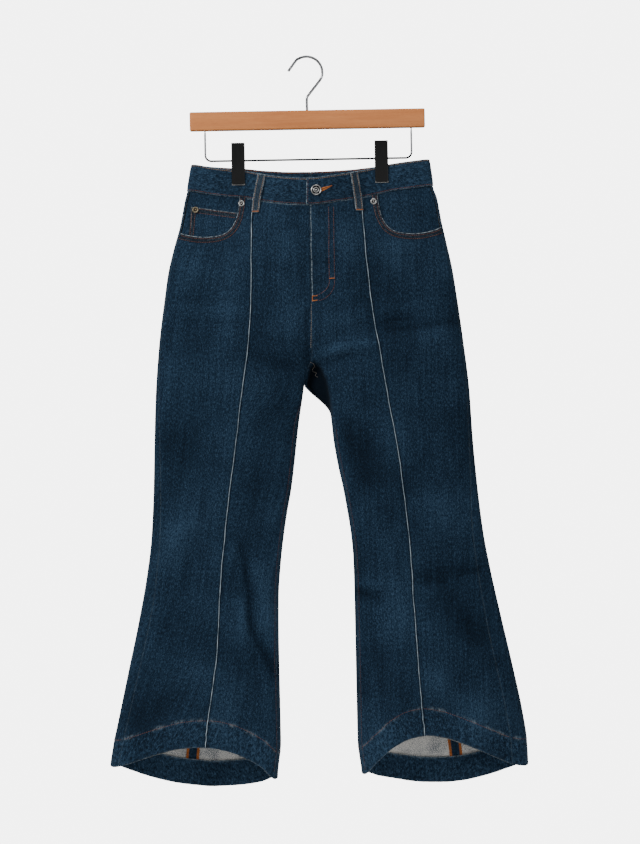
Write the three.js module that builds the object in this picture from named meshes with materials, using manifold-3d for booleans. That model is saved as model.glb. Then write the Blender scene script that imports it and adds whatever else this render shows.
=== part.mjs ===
// Cropped flared jeans hung by the waistband from a wooden clip hanger.
// Millimetres. The origin is the inside top of the hanger's hook, where it hangs.
// +Z is up, the front of the jeans faces -Y and the wearer's left leg is on +X.

import * as THREE from 'three';
import { mergeVertices } from 'three/addons/utils/BufferGeometryUtils.js';
import Module from 'manifold-3d';

const wasm = await Module();
wasm.setup();

// Cloth
const SEAM_GAP = 0.3;
const DENIM = 1.6;
const BAND_CLOTH = 3.0;
const BAND_HEIGHT = 40.5;
const BAND_SEAM_GAP = 0.5;
const CENTRE_X = 1.5;

// Heights of the main lines
const BAND_SEAM_Z = -205;
const CROTCH_Z = -496;
const HEM_Z = -1070;

// The sides of the waistband's top and of its seam
const BAND_SIDES = { right: { top: -175.2, seam: -182.6 }, left: { top: 182.4, seam: 187.6 } };

const QUARTER = Math.PI / 2;
const SIDES = ['right', 'left'];
const SIGN = { right: -1, left: 1 };

/** A table with named columns. Its first column is where, and read() follows the others smoothly. */
class Table {
  constructor(names, lines) {
    this.where = lines.map((line) => line[0]);
    this.columns = Object.fromEntries(names.map((name, i) => [name, lines.map((line) => line[i])]));
  }

  slope(values, i) {
    if (i === 0 || i === values.length - 1) return 0;
    const before = (values[i] - values[i - 1]) / (this.where[i] - this.where[i - 1]);
    const after = (values[i + 1] - values[i]) / (this.where[i + 1] - this.where[i]);
    return before * after > 0 ? (2 * before * after) / (before + after) : 0;
  }

  read(name, at) {
    const values = this.columns[name];
    const down = this.where[0] > this.where[1];
    const beyond = (edge) => (down ? at <= edge : at >= edge);
    if (!beyond(this.where[0])) return values[0];
    let i = this.where.length - 1;
    while (i > 0 && !beyond(this.where[i])) i -= 1;
    if (i === this.where.length - 1) return values[i];
    const width = this.where[i + 1] - this.where[i];
    const t = (at - this.where[i]) / width;
    const a = this.slope(values, i) * width;
    const b = this.slope(values, i + 1) * width;
    const rise = values[i + 1] - values[i];
    return values[i] + t * (a + t * (3 * rise - 2 * a - b + t * (a + b - 2 * rise)));
  }
}

// Outside edge of the hips and legs, seen from the front.
const OUTSIDE = new Table(['z', 'right', 'left'], [
  [-197, -182.6, 187.6],
  [-215, -186.6, 193.2],
  [-251, -194, 199.5],
  [-287, -204.5, 207.2],
  [-323, -213.4, 214.6],
  [-360, -219.2, 220],
  [-432, -229, 229.2],
  [-505, -235.2, 237],
  [-577, -238.4, 240.8],
  [-650, -241, 246.6],
  [-722, -245.6, 254.6],
  [-776, -253, 264],
  [-849, -267.2, 279.2],
  [-921, -283.5, 294.8],
  [-994, -299.9, 309.2],
  [-1034, -308.8, 314.6],
  [-1072, -314, 316],
]);

// Inside edge: the centre seams down to the crotch, and below it the inside of each leg.
const INSIDE = new Table(['z', 'right', 'left'], [
  [-197, CENTRE_X, CENTRE_X],
  [-440, CENTRE_X, CENTRE_X],
  [-456, 0, 0],
  [-466, -4.6, -4.6],
  [CROTCH_Z, -11.4, -11.4],
  [-497.5, -11.6, -10.2],
  [-536, -17.8, 26.2],
  [-541, -18.7, 27.2],
  [-577, -23.6, 30.8],
  [-613, -28, 36.4],
  [-650, -33.2, 44],
  [-686, -40.2, 50],
  [-722, -46, 55],
  [-758, -50.6, 57.6],
  [-812, -55, 58.4],
  [-885, -56, 58.6],
  [-1030, -55.4, 59.2],
  [-1086, -61, 64.6],
]);

// The raised seam down each front leg.
const RIDGE = new Table(['z', 'right', 'left'], [
  [-205, -82, 78.5],
  [-239, -85.6, 80.5],
  [-293, -87.6, 83.6],
  [-351, -88.2, 89.6],
  [-402, -91.6, 95.6],
  [-444, -96.6, 102.4],
  [-528, -108.4, 116.6],
  [-612, -120.6, 129.8],
  [-697, -132, 139.6],
  [-759, -139.6, 144.2],
  [-828, -144.8, 147.8],
  [-900, -150.2, 151.4],
  [-957, -158, 155.4],
  [-1037, -168.6, 159.6],
]);

// The seam down each back leg.
const BACK_SEAM = new Table(['z', 'right', 'left'], [
  [-205, -90, 93],
  [-320, -95, 99],
  [-500, -116, 121],
  [-700, -144, 151],
  [-900, -170, 184],
  [-1100, -194, 212],
]);

// How far the side seam lies in front of the outside edge.
const OUTSEAM_INSET = new Table(['z', 'right', 'left'], [
  [-197, 2.6, 2.6],
  [-440, 2.8, 3],
  [-500, 4.4, 4.4],
  [-577, 8, 6],
  [-640, 10.6, 9.4],
  [-700, 12.4, 15],
  [-760, 14, 18.4],
  [-830, 16.8, 22.4],
  [-900, 16.4, 25],
  [-1072, 14, 25.6],
]);

// Half depths of the hung garment: forward and back of its edges, and the radius at the edges.
const DEPTH = new Table(['z', 'front', 'back', 'edge'], [
  [-197, 17, 18, 4.6],
  [-260, 22, 26, 4.4],
  [-330, 25, 33, 4.2],
  [-420, 25, 34, 4],
  [-500, 22, 29, 4],
  [-600, 19, 24, 4],
  [-700, 16, 20, 4],
  [-790, 16, 19, 4],
  [-880, 20, 23, 4.4],
  [-960, 25, 28, 5],
  [-1040, 31, 34, 6],
  [-1100, 35, 38, 6.6],
]);

// The waistband, from the wearer's right side at 0 to the left side at 1. Bows are measured
// from the plane in which the two clips pinch it.
const WAIST = new Table(['across', 'frontTop', 'backTop', 'frontBow', 'backBow'], [
  [0, -158.4, -158.4, 4.6, 4.6],
  [0.09, -163.8, -161.6, 4.8, 4.8],
  [0.163, -167.2, -163.8, 3.2, 3.2],
  [0.227, -169.4, -165.6, 3.2, 3.2],
  [0.31, -176, -168.4, 9, 8],
  [0.4, -181, -169.8, 15.4, 14],
  [0.5, -183, -170, 18, 16.4],
  [0.6, -179, -169.4, 15.4, 14],
  [0.69, -173.6, -168.2, 9, 8],
  [0.768, -168, -166, 3.2, 3.2],
  [0.832, -163, -163.2, 3.2, 3.2],
  [0.91, -159.6, -160.4, 4.8, 4.8],
  [1, -156.6, -156.6, 4.6, 4.6],
]);

// Lower edge of each leg opening, from the inside of the leg at 0 to the outside at 1.
const HEM = new Table(['across', 'rightFront', 'rightBack', 'leftFront', 'leftBack'], [
  [0, -1086.5, -1086.5, -1081.5, -1081.5],
  [0.1, -1066, -1096, -1061, -1090],
  [0.2, -1051, -1101, -1039.5, -1095.5],
  [0.3, -1040.5, -1103, -1026.5, -1100.5],
  [0.4, -1035, -1103.5, -1022, -1103.2],
  [0.5, -1034, -1101.5, -1025.5, -1104],
  [0.6, -1036, -1098, -1034, -1102],
  [0.7, -1042, -1092, -1044.5, -1097],
  [0.8, -1050, -1084, -1056.5, -1090],
  [0.9, -1058.5, -1073.5, -1067.5, -1080.5],
  [1, -1063.5, -1063.5, -1072, -1072],
]);

// The largest folds, each a soft trough between two points; a negative depth stands proud.
const FOLDS = [
  ['side', 'face', 'x1', 'z1', 'x2', 'z2', 'width', 'depth'],
  ['right', 'front', -110, -742, -98, -820, 15, 4.6],
  ['right', 'front', -98, -820, -92, -870, 15, 6],
  ['right', 'front', -92, -870, -62, -926, 17, 6.4],
  ['right', 'front', -80, -800, -66, -850, 18, -3],
  ['right', 'front', -190, -700, -232, -760, 24, -3],
  ['right', 'front', -200, -960, -262, -990, 26, 3],
  ['left', 'front', 56, -806, 96, -816, 12, 5],
  ['left', 'front', 160, -792, 246, -778, 15, 3.6],
  ['left', 'front', 212, -820, 252, -900, 22, 4],
  ['left', 'front', 104, -404, 226, -400, 15, 2.6],
  ['left', 'front', 14, -450, 92, -434, 16, -2.6],
  ['left', 'front', 60, -560, 90, -640, 22, 3],
  ['right', 'back', -60, -470, -190, -530, 20, 5],
  ['right', 'back', -70, -780, -200, -800, 18, 5],
  ['right', 'back', -110, -850, -90, -960, 24, -4],
  ['left', 'back', 40, -490, 180, -540, 20, 5],
  ['left', 'back', 76, -770, 210, -806, 20, 5],
  ['left', 'back', 230, -840, 250, -960, 24, -4],
];

const mix = (a, b, t) => a + (b - a) * t;
const clamp = (t) => Math.min(1, Math.max(0, t));
const smooth = (t) => clamp(t) ** 2 * (3 - 2 * clamp(t));
const point = (x, y, z) => new THREE.Vector3(x, y, z);
const columnOf = (side, face) => side + face[0].toUpperCase() + face.slice(1);

// The turn is the angle round one side of the garment: zero faces forward at the middle,
// a quarter is the outside edge, two quarters face back and minus a quarter is inside the leg.
const faceOf = (turn) => (Math.cos(turn) >= 0 ? 'front' : 'back');

// Where the centre seams leave the middle and swing under the body to the crotch
const SWING = { front: { z: -396, length: 100 }, back: { z: -330, length: 166 } };
const INSEAM_LEAD = { angle: 0.27, length: 60 };

function centreTurn(face, z) {
  return -QUARTER * smooth((SWING[face].z - z) / SWING[face].length);
}

function inseamLead(z) {
  return INSEAM_LEAD.angle * smooth((CROTCH_Z - z) / INSEAM_LEAD.length);
}

const innerTurn = (z) => centreTurn('front', z) + inseamLead(z);
const innerBackTurn = (z) => 2 * QUARTER - centreTurn('back', z) + inseamLead(z);

/** Half the width of the section that a face is part of, with the sign of its side. */
function halfWidth(side, face, z) {
  const under = -Math.sin(centreTurn(face, z));
  const inside = INSIDE.read(side, z) + SIGN[side] * under * (DENIM / 2 + SEAM_GAP);
  return (OUTSIDE.read(side, z) - inside) / (1 + under);
}

/** The turn at which a face passes a given x. */
function turnAt(side, face, x, z) {
  const away = (OUTSIDE.read(side, z) - x) / halfWidth(side, face, z);
  const turn = Math.asin(Math.max(-1, Math.min(1, 1 - away)));
  return face === 'front' ? turn : 2 * QUARTER - turn;
}

const outseamTurn = (side) => (z) =>
  turnAt(side, 'front', OUTSIDE.read(side, z) - SIGN[side] * OUTSEAM_INSET.read(side, z), z);

// Below the waistband the pinched shape opens into the hung one over this stretch.
const OPENING_OUT = { z: -176, length: 140 };

// At the top of the wearer's left leg the inside of the thigh drops back in a web, behind the
// front of the leg; the back panel meets it there and keeps its own shape beyond the reach.
const WEB = {
  top: -452, full: -474, low: -520, bottom: -552, drop: 15, width: 11, reach: 26, meets: 14, over: 10,
};
const WEB_RIDGE = new Table(['z', 'x'], [
  [-452, 4],
  [-474, 17],
  [-500, 25],
  [-552, 30],
]);

function webDrop(face, x, z) {
  const ridge = WEB_RIDGE.read('x', z);
  const inside = INSIDE.read('left', z);
  const below = smooth((WEB.top - z) / (WEB.top - WEB.full));
  const above = smooth((z - WEB.bottom) / (WEB.low - WEB.bottom));
  const from = smooth((ridge - x) / WEB.width + 0.5);
  const nearSeam = smooth((z - CROTCH_Z + WEB.meets) / WEB.over);
  const fromSeam = mix(1, smooth((x - inside) / WEB.width), nearSeam);
  const atBack = face === 'back' ? 1 - smooth((x - inside) / WEB.reach) : 1;
  return WEB.drop * below * above * from * fromSeam * atBack;
}

/** How far the folds push the cloth in at a place on one face. */
function foldDepth(side, face, x, z) {
  const [names, ...folds] = FOLDS;
  let depth = 0;
  for (const line of folds) {
    const fold = Object.fromEntries(names.map((name, i) => [name, line[i]]));
    if (fold.side !== side || fold.face !== face) continue;
    const along = point(fold.x2 - fold.x1, 0, fold.z2 - fold.z1);
    const from = point(x - fold.x1, 0, z - fold.z1);
    const t = clamp(from.dot(along) / along.lengthSq());
    const off = from.sub(along.multiplyScalar(t)).length() / fold.width;
    depth += fold.depth * Math.exp(-off * off);
  }
  return depth;
}

// The section's fullness is a power of the cosine, and folds fade out towards its edges.
const FULLNESS = 0.9;
const FOLD_FADE = { gain: 2.4, from: 0.2 };

/** The middle of the cloth at a turn and a height. */
function bodyPoint(side, turn, z) {
  const face = faceOf(turn);
  const half = halfWidth(side, face, z);
  const out = OUTSIDE.read(side, z);
  const x = out - half * (1 - Math.sin(turn));
  const edge = DEPTH.read('edge', z);
  const rounded = (away) => Math.sqrt(1 - (1 - clamp(away / edge)) ** 2);
  const fromOutside = rounded(Math.abs(half) * (1 - Math.sin(turn)));
  const fromInside = rounded(Math.abs(half) * (1 + Math.sin(turn)));
  const right = OUTSIDE.read('right', z);
  const across = (x - right) / (OUTSIDE.read('left', z) - right);
  const pinched = WAIST.read(face + 'Bow', across) - edge;
  const level = Math.abs(Math.cos(turn));
  const hung = (DEPTH.read(face, z) - edge) * level ** FULLNESS;
  const opened = smooth((OPENING_OUT.z - z) / OPENING_OUT.length);
  const away = edge * fromOutside * fromInside + mix(pinched, hung, opened);
  const soft = clamp(FOLD_FADE.gain * level - FOLD_FADE.from);
  const depth = away - soft * foldDepth(side, face, x, z);
  const web = side === 'left' ? webDrop(face, x, z) : 0;
  return point(x, (face === 'front' ? -depth : depth) + web, z);
}

/** The middle of the waistband's cloth: share is 0 at its seam and 1 at its top. */
function bandPoint(face, across, share) {
  const x = mix(mix(BAND_SIDES.right.seam, BAND_SIDES.right.top, share),
    mix(BAND_SIDES.left.seam, BAND_SIDES.left.top, share), across);
  const z = WAIST.read(face + 'Top', across) - BAND_HEIGHT * (1 - share);
  const edge = DEPTH.read('edge', BAND_SEAM_Z);
  const width = BAND_SIDES.left.seam - BAND_SIDES.right.seam;
  const tip = clamp((Math.min(across, 1 - across) * width) / edge);
  const away = WAIST.read(face + 'Bow', across) - edge + edge * Math.sqrt(1 - (1 - tip) ** 2);
  return point(x, face === 'front' ? -away : away, z);
}

/** The height of the waistband's seam over a turn of one side. */
function bandSeam(side, turn) {
  const at = bodyPoint(side, turn, BAND_SEAM_Z);
  const across = (at.x - BAND_SIDES.right.seam) / (BAND_SIDES.left.seam - BAND_SIDES.right.seam);
  return WAIST.read(faceOf(turn) + 'Top', clamp(across)) - BAND_HEIGHT;
}

const hemHeight = (side, turn) => HEM.read(columnOf(side, faceOf(turn)), (1 + Math.sin(turn)) / 2);

/** A closed solid between two facing grids of points: grid[i][j], outer first. */
function wall(outer, inner) {
  const rows = outer.length;
  const columns = outer[0].length;
  const places = [outer, inner].flat(2);
  const at = (layer, i, j) => (layer * rows + i) * columns + j;
  const faces = [];
  const quad = (a, b, c, d) => faces.push(a, b, c, a, c, d);
  for (let i = 0; i + 1 < rows; i += 1) {
    for (let j = 0; j + 1 < columns; j += 1) {
      quad(at(0, i, j), at(0, i, j + 1), at(0, i + 1, j + 1), at(0, i + 1, j));
      quad(at(1, i, j), at(1, i + 1, j), at(1, i + 1, j + 1), at(1, i, j + 1));
    }
    quad(at(0, i, 0), at(0, i + 1, 0), at(1, i + 1, 0), at(1, i, 0));
    const last = columns - 1;
    quad(at(0, i + 1, last), at(0, i, last), at(1, i, last), at(1, i + 1, last));
  }
  for (let j = 0; j + 1 < columns; j += 1) {
    quad(at(0, 0, j + 1), at(0, 0, j), at(1, 0, j), at(1, 0, j + 1));
    quad(at(0, rows - 1, j), at(0, rows - 1, j + 1), at(1, rows - 1, j + 1), at(1, rows - 1, j));
  }
  return solid(places, faces);
}

/** A closed solid through a list of rings of points, its ends closed. */
function loft(rings) {
  const sides = rings[0].length;
  const faces = [];
  for (let i = 0; i + 1 < rings.length; i += 1) {
    for (let j = 0; j < sides; j += 1) {
      const a = i * sides + j;
      const b = i * sides + ((j + 1) % sides);
      faces.push(a, b, b + sides, a, b + sides, a + sides);
    }
  }
  const last = (rings.length - 1) * sides;
  for (let j = 1; j + 1 < sides; j += 1) faces.push(0, j + 1, j, last, last + j, last + j + 1);
  return solid(rings.flat(), faces);
}

/** A geometry from points and triangles, turned so that its faces point out. */
function solid(places, faces) {
  let volume = 0;
  for (let k = 0; k < faces.length; k += 3) {
    const [a, b, c] = [0, 1, 2].map((n) => places[faces[k + n]]);
    volume += a.dot(b.clone().cross(c));
  }
  if (volume < 0) faces.reverse();
  const geometry = new THREE.BufferGeometry();
  const numbers = places.flatMap((place) => place.toArray());
  geometry.setAttribute('position', new THREE.Float32BufferAttribute(numbers, 3));
  geometry.setIndex(faces);
  return geometry;
}

/** The outward normal of a surface at two parameters, by small steps. */
function outward(surface, a, b, stepA, stepB) {
  const alongA = surface(a + stepA, b).sub(surface(a - stepA, b));
  const alongB = surface(a, b + stepB).sub(surface(a, b - stepB));
  return alongA.cross(alongB).normalize();
}

const TURN_STEP = 0.004;
const HEIGHT_STEP = 0.6;

/** A point on one side of the body, moved out from the middle of the cloth. */
function bodyOffset(side, turn, z, out) {
  const normal = outward((a, b) => bodyPoint(side, a, b), turn, z, TURN_STEP, HEIGHT_STEP);
  return bodyPoint(side, turn, z).addScaledVector(normal, out * SIGN[side]);
}

/** The turn moved along the cloth by a distance. */
function shifted(side, turn, z, distance) {
  const speed = bodyPoint(side, turn + TURN_STEP, z).distanceTo(bodyPoint(side, turn - TURN_STEP, z));
  return turn + (distance * 2 * TURN_STEP) / speed;
}

// Rows of the leg panels, as heights at the side seam; near the top and the hem they bend
// to follow the cut edges.
const LEVELS = [
  -198, -215, -232, -251, -270, -290, -312, -336, -362, -390, -418, -444, -466, -482, -496, -510,
  -524, -540, -566, -600, -640, -680, -720, -756, -790, -824, -860, -900, -945, -990, -1032, -1068,
];
const YOKE_LEVELS = 3;
const BEND = { top: -330, hem: -900 };

/** The rows of a long panel between its upper edge and the hem. */
function legRows(levels) {
  const first = levels[0];
  const last = levels[levels.length - 1];
  return (high, low) => levels.map((z) => z
    + (high - first) * clamp((z - BEND.top) / (first - BEND.top))
    + (low - last) * clamp((BEND.hem - z) / (BEND.hem - last)));
}

// Each leg panel is cut in one piece; its solid is in stretches, down to these levels
const STRETCHES = [
  { name: 'upper', end: -482 },
  { name: 'middle', end: -790 },
  { name: 'lower', end: LEVELS[LEVELS.length - 1] },
];

/** Even rows of a short piece. */
const evenRows = (count) => (high, low) =>
  Array.from({ length: count + 1 }, (_, i) => mix(high, low, i / count));

/**
 * A panel of cloth round part of one side. seams are the functions that give the turns of its
 * side seams, and of any inner line it follows, at a height. columns counts the steps between
 * two of them, top and bottom give the heights of the ends at a turn, endsAt is the height at
 * which the lower end's turns are taken, and out moves the panel off the body's own layer.
 */
function panel({ side, seams, columns, top, bottom, rows, endsAt = HEM_Z, out = 0, cloth = DENIM }) {
  const outer = [];
  const inner = [];
  const strips = seams.length - 1;
  for (let strip = 0; strip < strips; strip += 1) {
    const [from, to] = [seams[strip], seams[strip + 1]];
    for (let j = strip ? 1 : 0; j <= columns[strip]; j += 1) {
      const u = j / columns[strip];
      const high = top(mix(from(BAND_SEAM_Z), to(BAND_SEAM_Z), u));
      const low = bottom(mix(from(endsAt), to(endsAt), u));
      const turned = (z) => {
        const first = strip ? from(z) : shifted(side, from(z), z, SEAM_GAP / 2);
        const second = strip < strips - 1 ? to(z) : shifted(side, to(z), z, -SEAM_GAP / 2);
        return mix(first, second, u);
      };
      const heights = rows(high, low);
      outer.push(heights.map((z) => bodyOffset(side, turned(z), z, out + cloth / 2)));
      inner.push(heights.map((z) => bodyOffset(side, turned(z), z, out - cloth / 2)));
    }
  }
  return wall(outer, inner);
}

/** A patch on one face between two heights, with side edges at an x that may lean. */
function patch({ side, face, start, end, top, bottom, rows, columns, out, cloth = DENIM }) {
  const grid = (offset) => Array.from({ length: columns + 1 }, (_, j) => {
    const across = j / columns;
    return rows(top(across), bottom(across)).map((z) => {
      const x = mix(start(z), end(z), across);
      return bodyOffset(side, turnAt(side, face, x, z), z, offset);
    });
  });
  return wall(grid(out + cloth / 2), grid(out - cloth / 2));
}

const MERGE_WITHIN = 1e-4;

/** The manifold library's solid for a closed geometry. */
function toManifold(geometry) {
  const bare = new THREE.BufferGeometry();
  bare.setAttribute('position', geometry.getAttribute('position').clone());
  if (geometry.index) bare.setIndex(geometry.index.clone());
  const merged = mergeVertices(bare, MERGE_WITHIN);
  return new wasm.Manifold(new wasm.Mesh({
    numProp: 3,
    vertProperties: new Float32Array(merged.attributes.position.array),
    triVerts: new Uint32Array(merged.index.array),
  }));
}

function fromManifold(shape) {
  const mesh = shape.getMesh();
  const geometry = new THREE.BufferGeometry();
  geometry.setAttribute('position', new THREE.Float32BufferAttribute(mesh.vertProperties, 3));
  geometry.setIndex(Array.from(mesh.triVerts));
  return geometry;
}

const cutAway = (geometry, cutter) =>
  fromManifold(toManifold(geometry).subtract(toManifold(cutter)));
const keepInside = (geometry, cutter) =>
  fromManifold(toManifold(geometry).intersect(toManifold(cutter)));

// Materials
const finish = (color, roughness, metalness = 0) =>
  new THREE.MeshStandardMaterial({ color, roughness, metalness });
const denim = finish(0x1f3348, 0.92);
const denimWorn = finish(0x34495c, 0.9);
const nickel = finish(0x9a9c9e, 0.35, 0.9);
const brass = finish(0x8d7d5c, 0.4, 0.9);
const wood = finish(0xc0875d, 0.55);
const chrome = finish(0xc9cccf, 0.14, 1);
const blackMetal = finish(0x111414, 0.32, 0.2);

const jeans = new THREE.Group();

function add(name, geometry, material, place) {
  const mesh = new THREE.Mesh(geometry, material);
  mesh.name = name;
  if (place) mesh.position.copy(place);
  jeans.add(mesh);
  return mesh;
}

// Leg panels
const underBand = (side) => (turn) => bandSeam(side, turn) - BAND_SEAM_GAP;
const hemLine = (side) => (turn) => hemHeight(side, turn);
const ridgeTurn = (side) => (z) => turnAt(side, 'front', RIDGE.read(side, z), z);
const backSeamTurn = (side) => (z) => turnAt(side, 'back', BACK_SEAM.read(side, z), z);
const STEPS = { frontInner: 6, frontOuter: 7, backOuter: 8, backInner: 7 };

/** Adds a leg panel in its stretches, which stay a seam gap apart; cutter shapes the first. */
function addLegPanel(name, levels, shape, cutter) {
  const allRows = legRows(levels);
  let start = 0;
  for (const stretch of STRETCHES) {
    const [first, last] = [start, levels.indexOf(stretch.end)];
    const rows = (high, low) => {
      const heights = allRows(high, low).slice(first, last + 1);
      if (first > 0) heights[0] -= SEAM_GAP / 2;
      if (last < levels.length - 1) heights[heights.length - 1] += SEAM_GAP / 2;
      return heights;
    };
    const cloth = panel({ ...shape, rows });
    add(`${name}_${stretch.name}`, cutter && first === 0 ? cutAway(cloth, cutter) : cloth, denim);
    start = last;
  }
}

// Pocket openings, from the waistband to beyond the side, given for the wearer's left
const POCKET = {
  roof: -150,
  reach: 60,
  edge: [
    [103.4, -206], [104.4, -222], [108, -240], [116, -256], [128, -265.5], [147, -269.6],
    [167, -269.4], [187, -265.4], [198, -260.6], [236, -238],
  ],
  focus: [190, -180],
  segments: 3,
};

/** The column of space over a pocket opening, moved in along its edge by an amount. */
function pocketSpace(side, inset) {
  const edge = POCKET.edge.map(([x, z]) => {
    const away = new THREE.Vector2(POCKET.focus[0] - x, POCKET.focus[1] - z).setLength(inset);
    return new THREE.Vector2(SIGN[side] * (x + away.x), z + away.y);
  });
  const outline = new THREE.Shape();
  outline.moveTo(edge[0].x, POCKET.roof);
  outline.lineTo(edge[0].x, edge[0].y);
  outline.splineThru(edge.slice(1));
  outline.lineTo(edge[edge.length - 1].x, POCKET.roof);
  const space = new THREE.ExtrudeGeometry(outline, {
    depth: 2 * POCKET.reach, bevelEnabled: false, curveSegments: POCKET.segments,
  });
  space.rotateX(QUARTER);
  space.translate(0, POCKET.reach, 0);
  return space;
}

for (const side of SIDES) {
  const ends = { side, top: underBand(side), bottom: hemLine(side) };
  addLegPanel(`front_inner_${side}`, LEVELS, {
    ...ends, seams: [innerTurn, ridgeTurn(side)], columns: [STEPS.frontInner],
  });
  addLegPanel(`front_outer_${side}`, LEVELS, {
    ...ends, seams: [ridgeTurn(side), outseamTurn(side)], columns: [STEPS.frontOuter],
  }, pocketSpace(side, 0));
}

// Back yokes and the back panels under them
const YOKE = { side: 34, centre: 66, curve: 1.2 };

const yokeSeam = (side) => (turn) =>
  bandSeam(side, turn) - mix(YOKE.centre, YOKE.side, clamp(Math.sin(turn)) ** YOKE.curve);

for (const side of SIDES) {
  const seams = [outseamTurn(side), backSeamTurn(side), innerBackTurn];
  const levels = LEVELS.slice(YOKE_LEVELS - 1);
  const ends = {
    side, top: (turn) => yokeSeam(side)(turn) - BAND_SEAM_GAP, bottom: hemLine(side),
  };
  add(`yoke_${side}`, panel({
    side,
    seams,
    columns: [STEPS.backOuter, STEPS.backInner],
    top: underBand(side),
    bottom: yokeSeam(side),
    rows: evenRows(YOKE_LEVELS - 1),
    endsAt: BAND_SEAM_Z,
  }), denim);
  addLegPanel(`back_outer_${side}`, levels, {
    ...ends, seams: seams.slice(0, 2), columns: [STEPS.backOuter],
  });
  addLegPanel(`back_inner_${side}`, levels, {
    ...ends, seams: seams.slice(1), columns: [STEPS.backInner],
  });
}

// Raised seams down the front of the legs
const FRONT_RIDGE = { width: 3.2, height: 1.9, top: -236 };

for (const side of SIDES) {
  const below = LEVELS.filter((z) => z < FRONT_RIDGE.top);
  add(`front_ridge_${side}`, patch({
    side,
    face: 'front',
    start: (z) => RIDGE.read(side, z) - FRONT_RIDGE.width / 2,
    end: (z) => RIDGE.read(side, z) + FRONT_RIDGE.width / 2,
    top: () => FRONT_RIDGE.top,
    bottom: () => hemHeight(side, ridgeTurn(side)(HEM_Z)),
    rows: (high, low) => [high, ...legRows(below)(below[0], low)],
    columns: 1,
    out: DENIM / 2 + SEAM_GAP + FRONT_RIDGE.height / 2,
    cloth: FRONT_RIDGE.height,
  }), denimWorn);
}

// Hems turned up inside the leg openings
const HEM_TURN_UP = { depth: 40, gap: 0.6, rows: 2 };
const INNER_LAYER = -DENIM - HEM_TURN_UP.gap;

for (const side of SIDES) {
  const bottom = hemLine(side);
  const halves = {
    front: {
      seams: [innerTurn, ridgeTurn(side), outseamTurn(side)],
      columns: [STEPS.frontInner, STEPS.frontOuter],
    },
    back: {
      seams: [outseamTurn(side), backSeamTurn(side), innerBackTurn],
      columns: [STEPS.backOuter, STEPS.backInner],
    },
  };
  for (const [face, half] of Object.entries(halves)) {
    const rows = (high, low) => evenRows(HEM_TURN_UP.rows)(low + HEM_TURN_UP.depth, low);
    add(`hem_${face}_${side}`, panel({
      side, ...half, top: () => BAND_SEAM_Z, bottom, rows, out: INNER_LAYER,
    }), denim);
  }
}

// Pocket facings under the front openings, and the coin pocket on the wearer's right one
const FACING_ROWS = 6;
const COIN = {
  left: -177.4,
  lean: 0.1,
  right: -104,
  topLeft: -222.4,
  topRight: -233.6,
  bottom: -290,
  rows: 3,
  columns: 5,
  inset: 0.4,
};

for (const side of SIDES) {
  add(`pocket_facing_${side}`, panel({
    side,
    seams: [ridgeTurn(side), outseamTurn(side)],
    columns: [STEPS.frontOuter],
    top: underBand(side),
    bottom: hemLine(side),
    rows: (high, low) => legRows(LEVELS)(high, low).slice(0, FACING_ROWS),
    out: INNER_LAYER,
  }), denim);
}

const coinPatch = patch({
  side: 'right',
  face: 'front',
  start: (z) => COIN.left + COIN.lean * (z - COIN.topLeft),
  end: () => COIN.right,
  top: (across) => mix(COIN.topLeft, COIN.topRight, across),
  bottom: () => COIN.bottom,
  rows: evenRows(COIN.rows),
  columns: COIN.columns,
  out: 0,
});
add('coin_pocket', keepInside(coinPatch, pocketSpace('right', COIN.inset)), denim);

// Fly, stitched over the wearer's left front, with a curved lower end
const FLY = {
  edge: 2.4, width: 37, curve: -334, bottom: -370, tip: 5, cloth: 1.4, rows: 9, columns: 3,
};

function flyWidth(z) {
  const down = clamp((FLY.curve - z) / (FLY.curve - FLY.bottom));
  return FLY.tip + (FLY.width - FLY.tip) * Math.sqrt(1 - down * down);
}

add('fly', patch({
  side: 'left',
  face: 'front',
  start: () => FLY.edge,
  end: (z) => FLY.edge + flyWidth(z),
  top: (across) => {
    const x = FLY.edge + across * FLY.width;
    return bandSeam('left', turnAt('left', 'front', x, BAND_SEAM_Z)) - BAND_SEAM_GAP;
  },
  bottom: () => FLY.bottom,
  rows: evenRows(FLY.rows),
  columns: FLY.columns,
  out: (DENIM + FLY.cloth) / 2 + SEAM_GAP,
  cloth: FLY.cloth,
}), denim);

// Plain patch pockets on the back
const BACK_POCKET = {
  centre: { right: -99, left: 103 },
  top: -294,
  bottom: -424,
  point: 14,
  topWidth: 134,
  bottomWidth: 112,
  rows: 5,
  columns: 6,
  gap: 0.9,
};

for (const side of SIDES) {
  const half = (z) => mix(BACK_POCKET.bottomWidth, BACK_POCKET.topWidth,
    (z - BACK_POCKET.bottom) / (BACK_POCKET.top - BACK_POCKET.bottom)) / 2;
  add(`back_pocket_${side}`, patch({
    side,
    face: 'back',
    start: (z) => BACK_POCKET.centre[side] - half(z),
    end: (z) => BACK_POCKET.centre[side] + half(z),
    top: () => BACK_POCKET.top,
    bottom: (across) => BACK_POCKET.bottom - BACK_POCKET.point * (1 - Math.abs(2 * across - 1)),
    rows: evenRows(BACK_POCKET.rows),
    columns: BACK_POCKET.columns,
    out: DENIM + BACK_POCKET.gap,
  }), denim);
}

// Waistband halves. The run goes from the front over the side at zero to the back, and the
// front ends lap: the wearer's left end lies over the right one.
const BAND_RUNS = [
  0, 0.004, 0.016, 0.04, 0.08, 0.14, 0.2, 0.26, 0.33, 0.395,
  0.46, 0.53, 0.61, 0.69, 0.77, 0.85, 0.92, 1,
];
const BAND_SHARES = [0, 0.5, 1];
const BAND_STEP = { run: 0.002, share: 0.02 };
const LAP = {
  right: { from: 0.8, full: 0.95, end: 1.148, out: -(BAND_CLOTH + SEAM_GAP) / 2 },
  left: { from: 0.7, full: 0.84, end: 1.034, out: (BAND_CLOTH + SEAM_GAP) / 2 },
};

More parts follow.
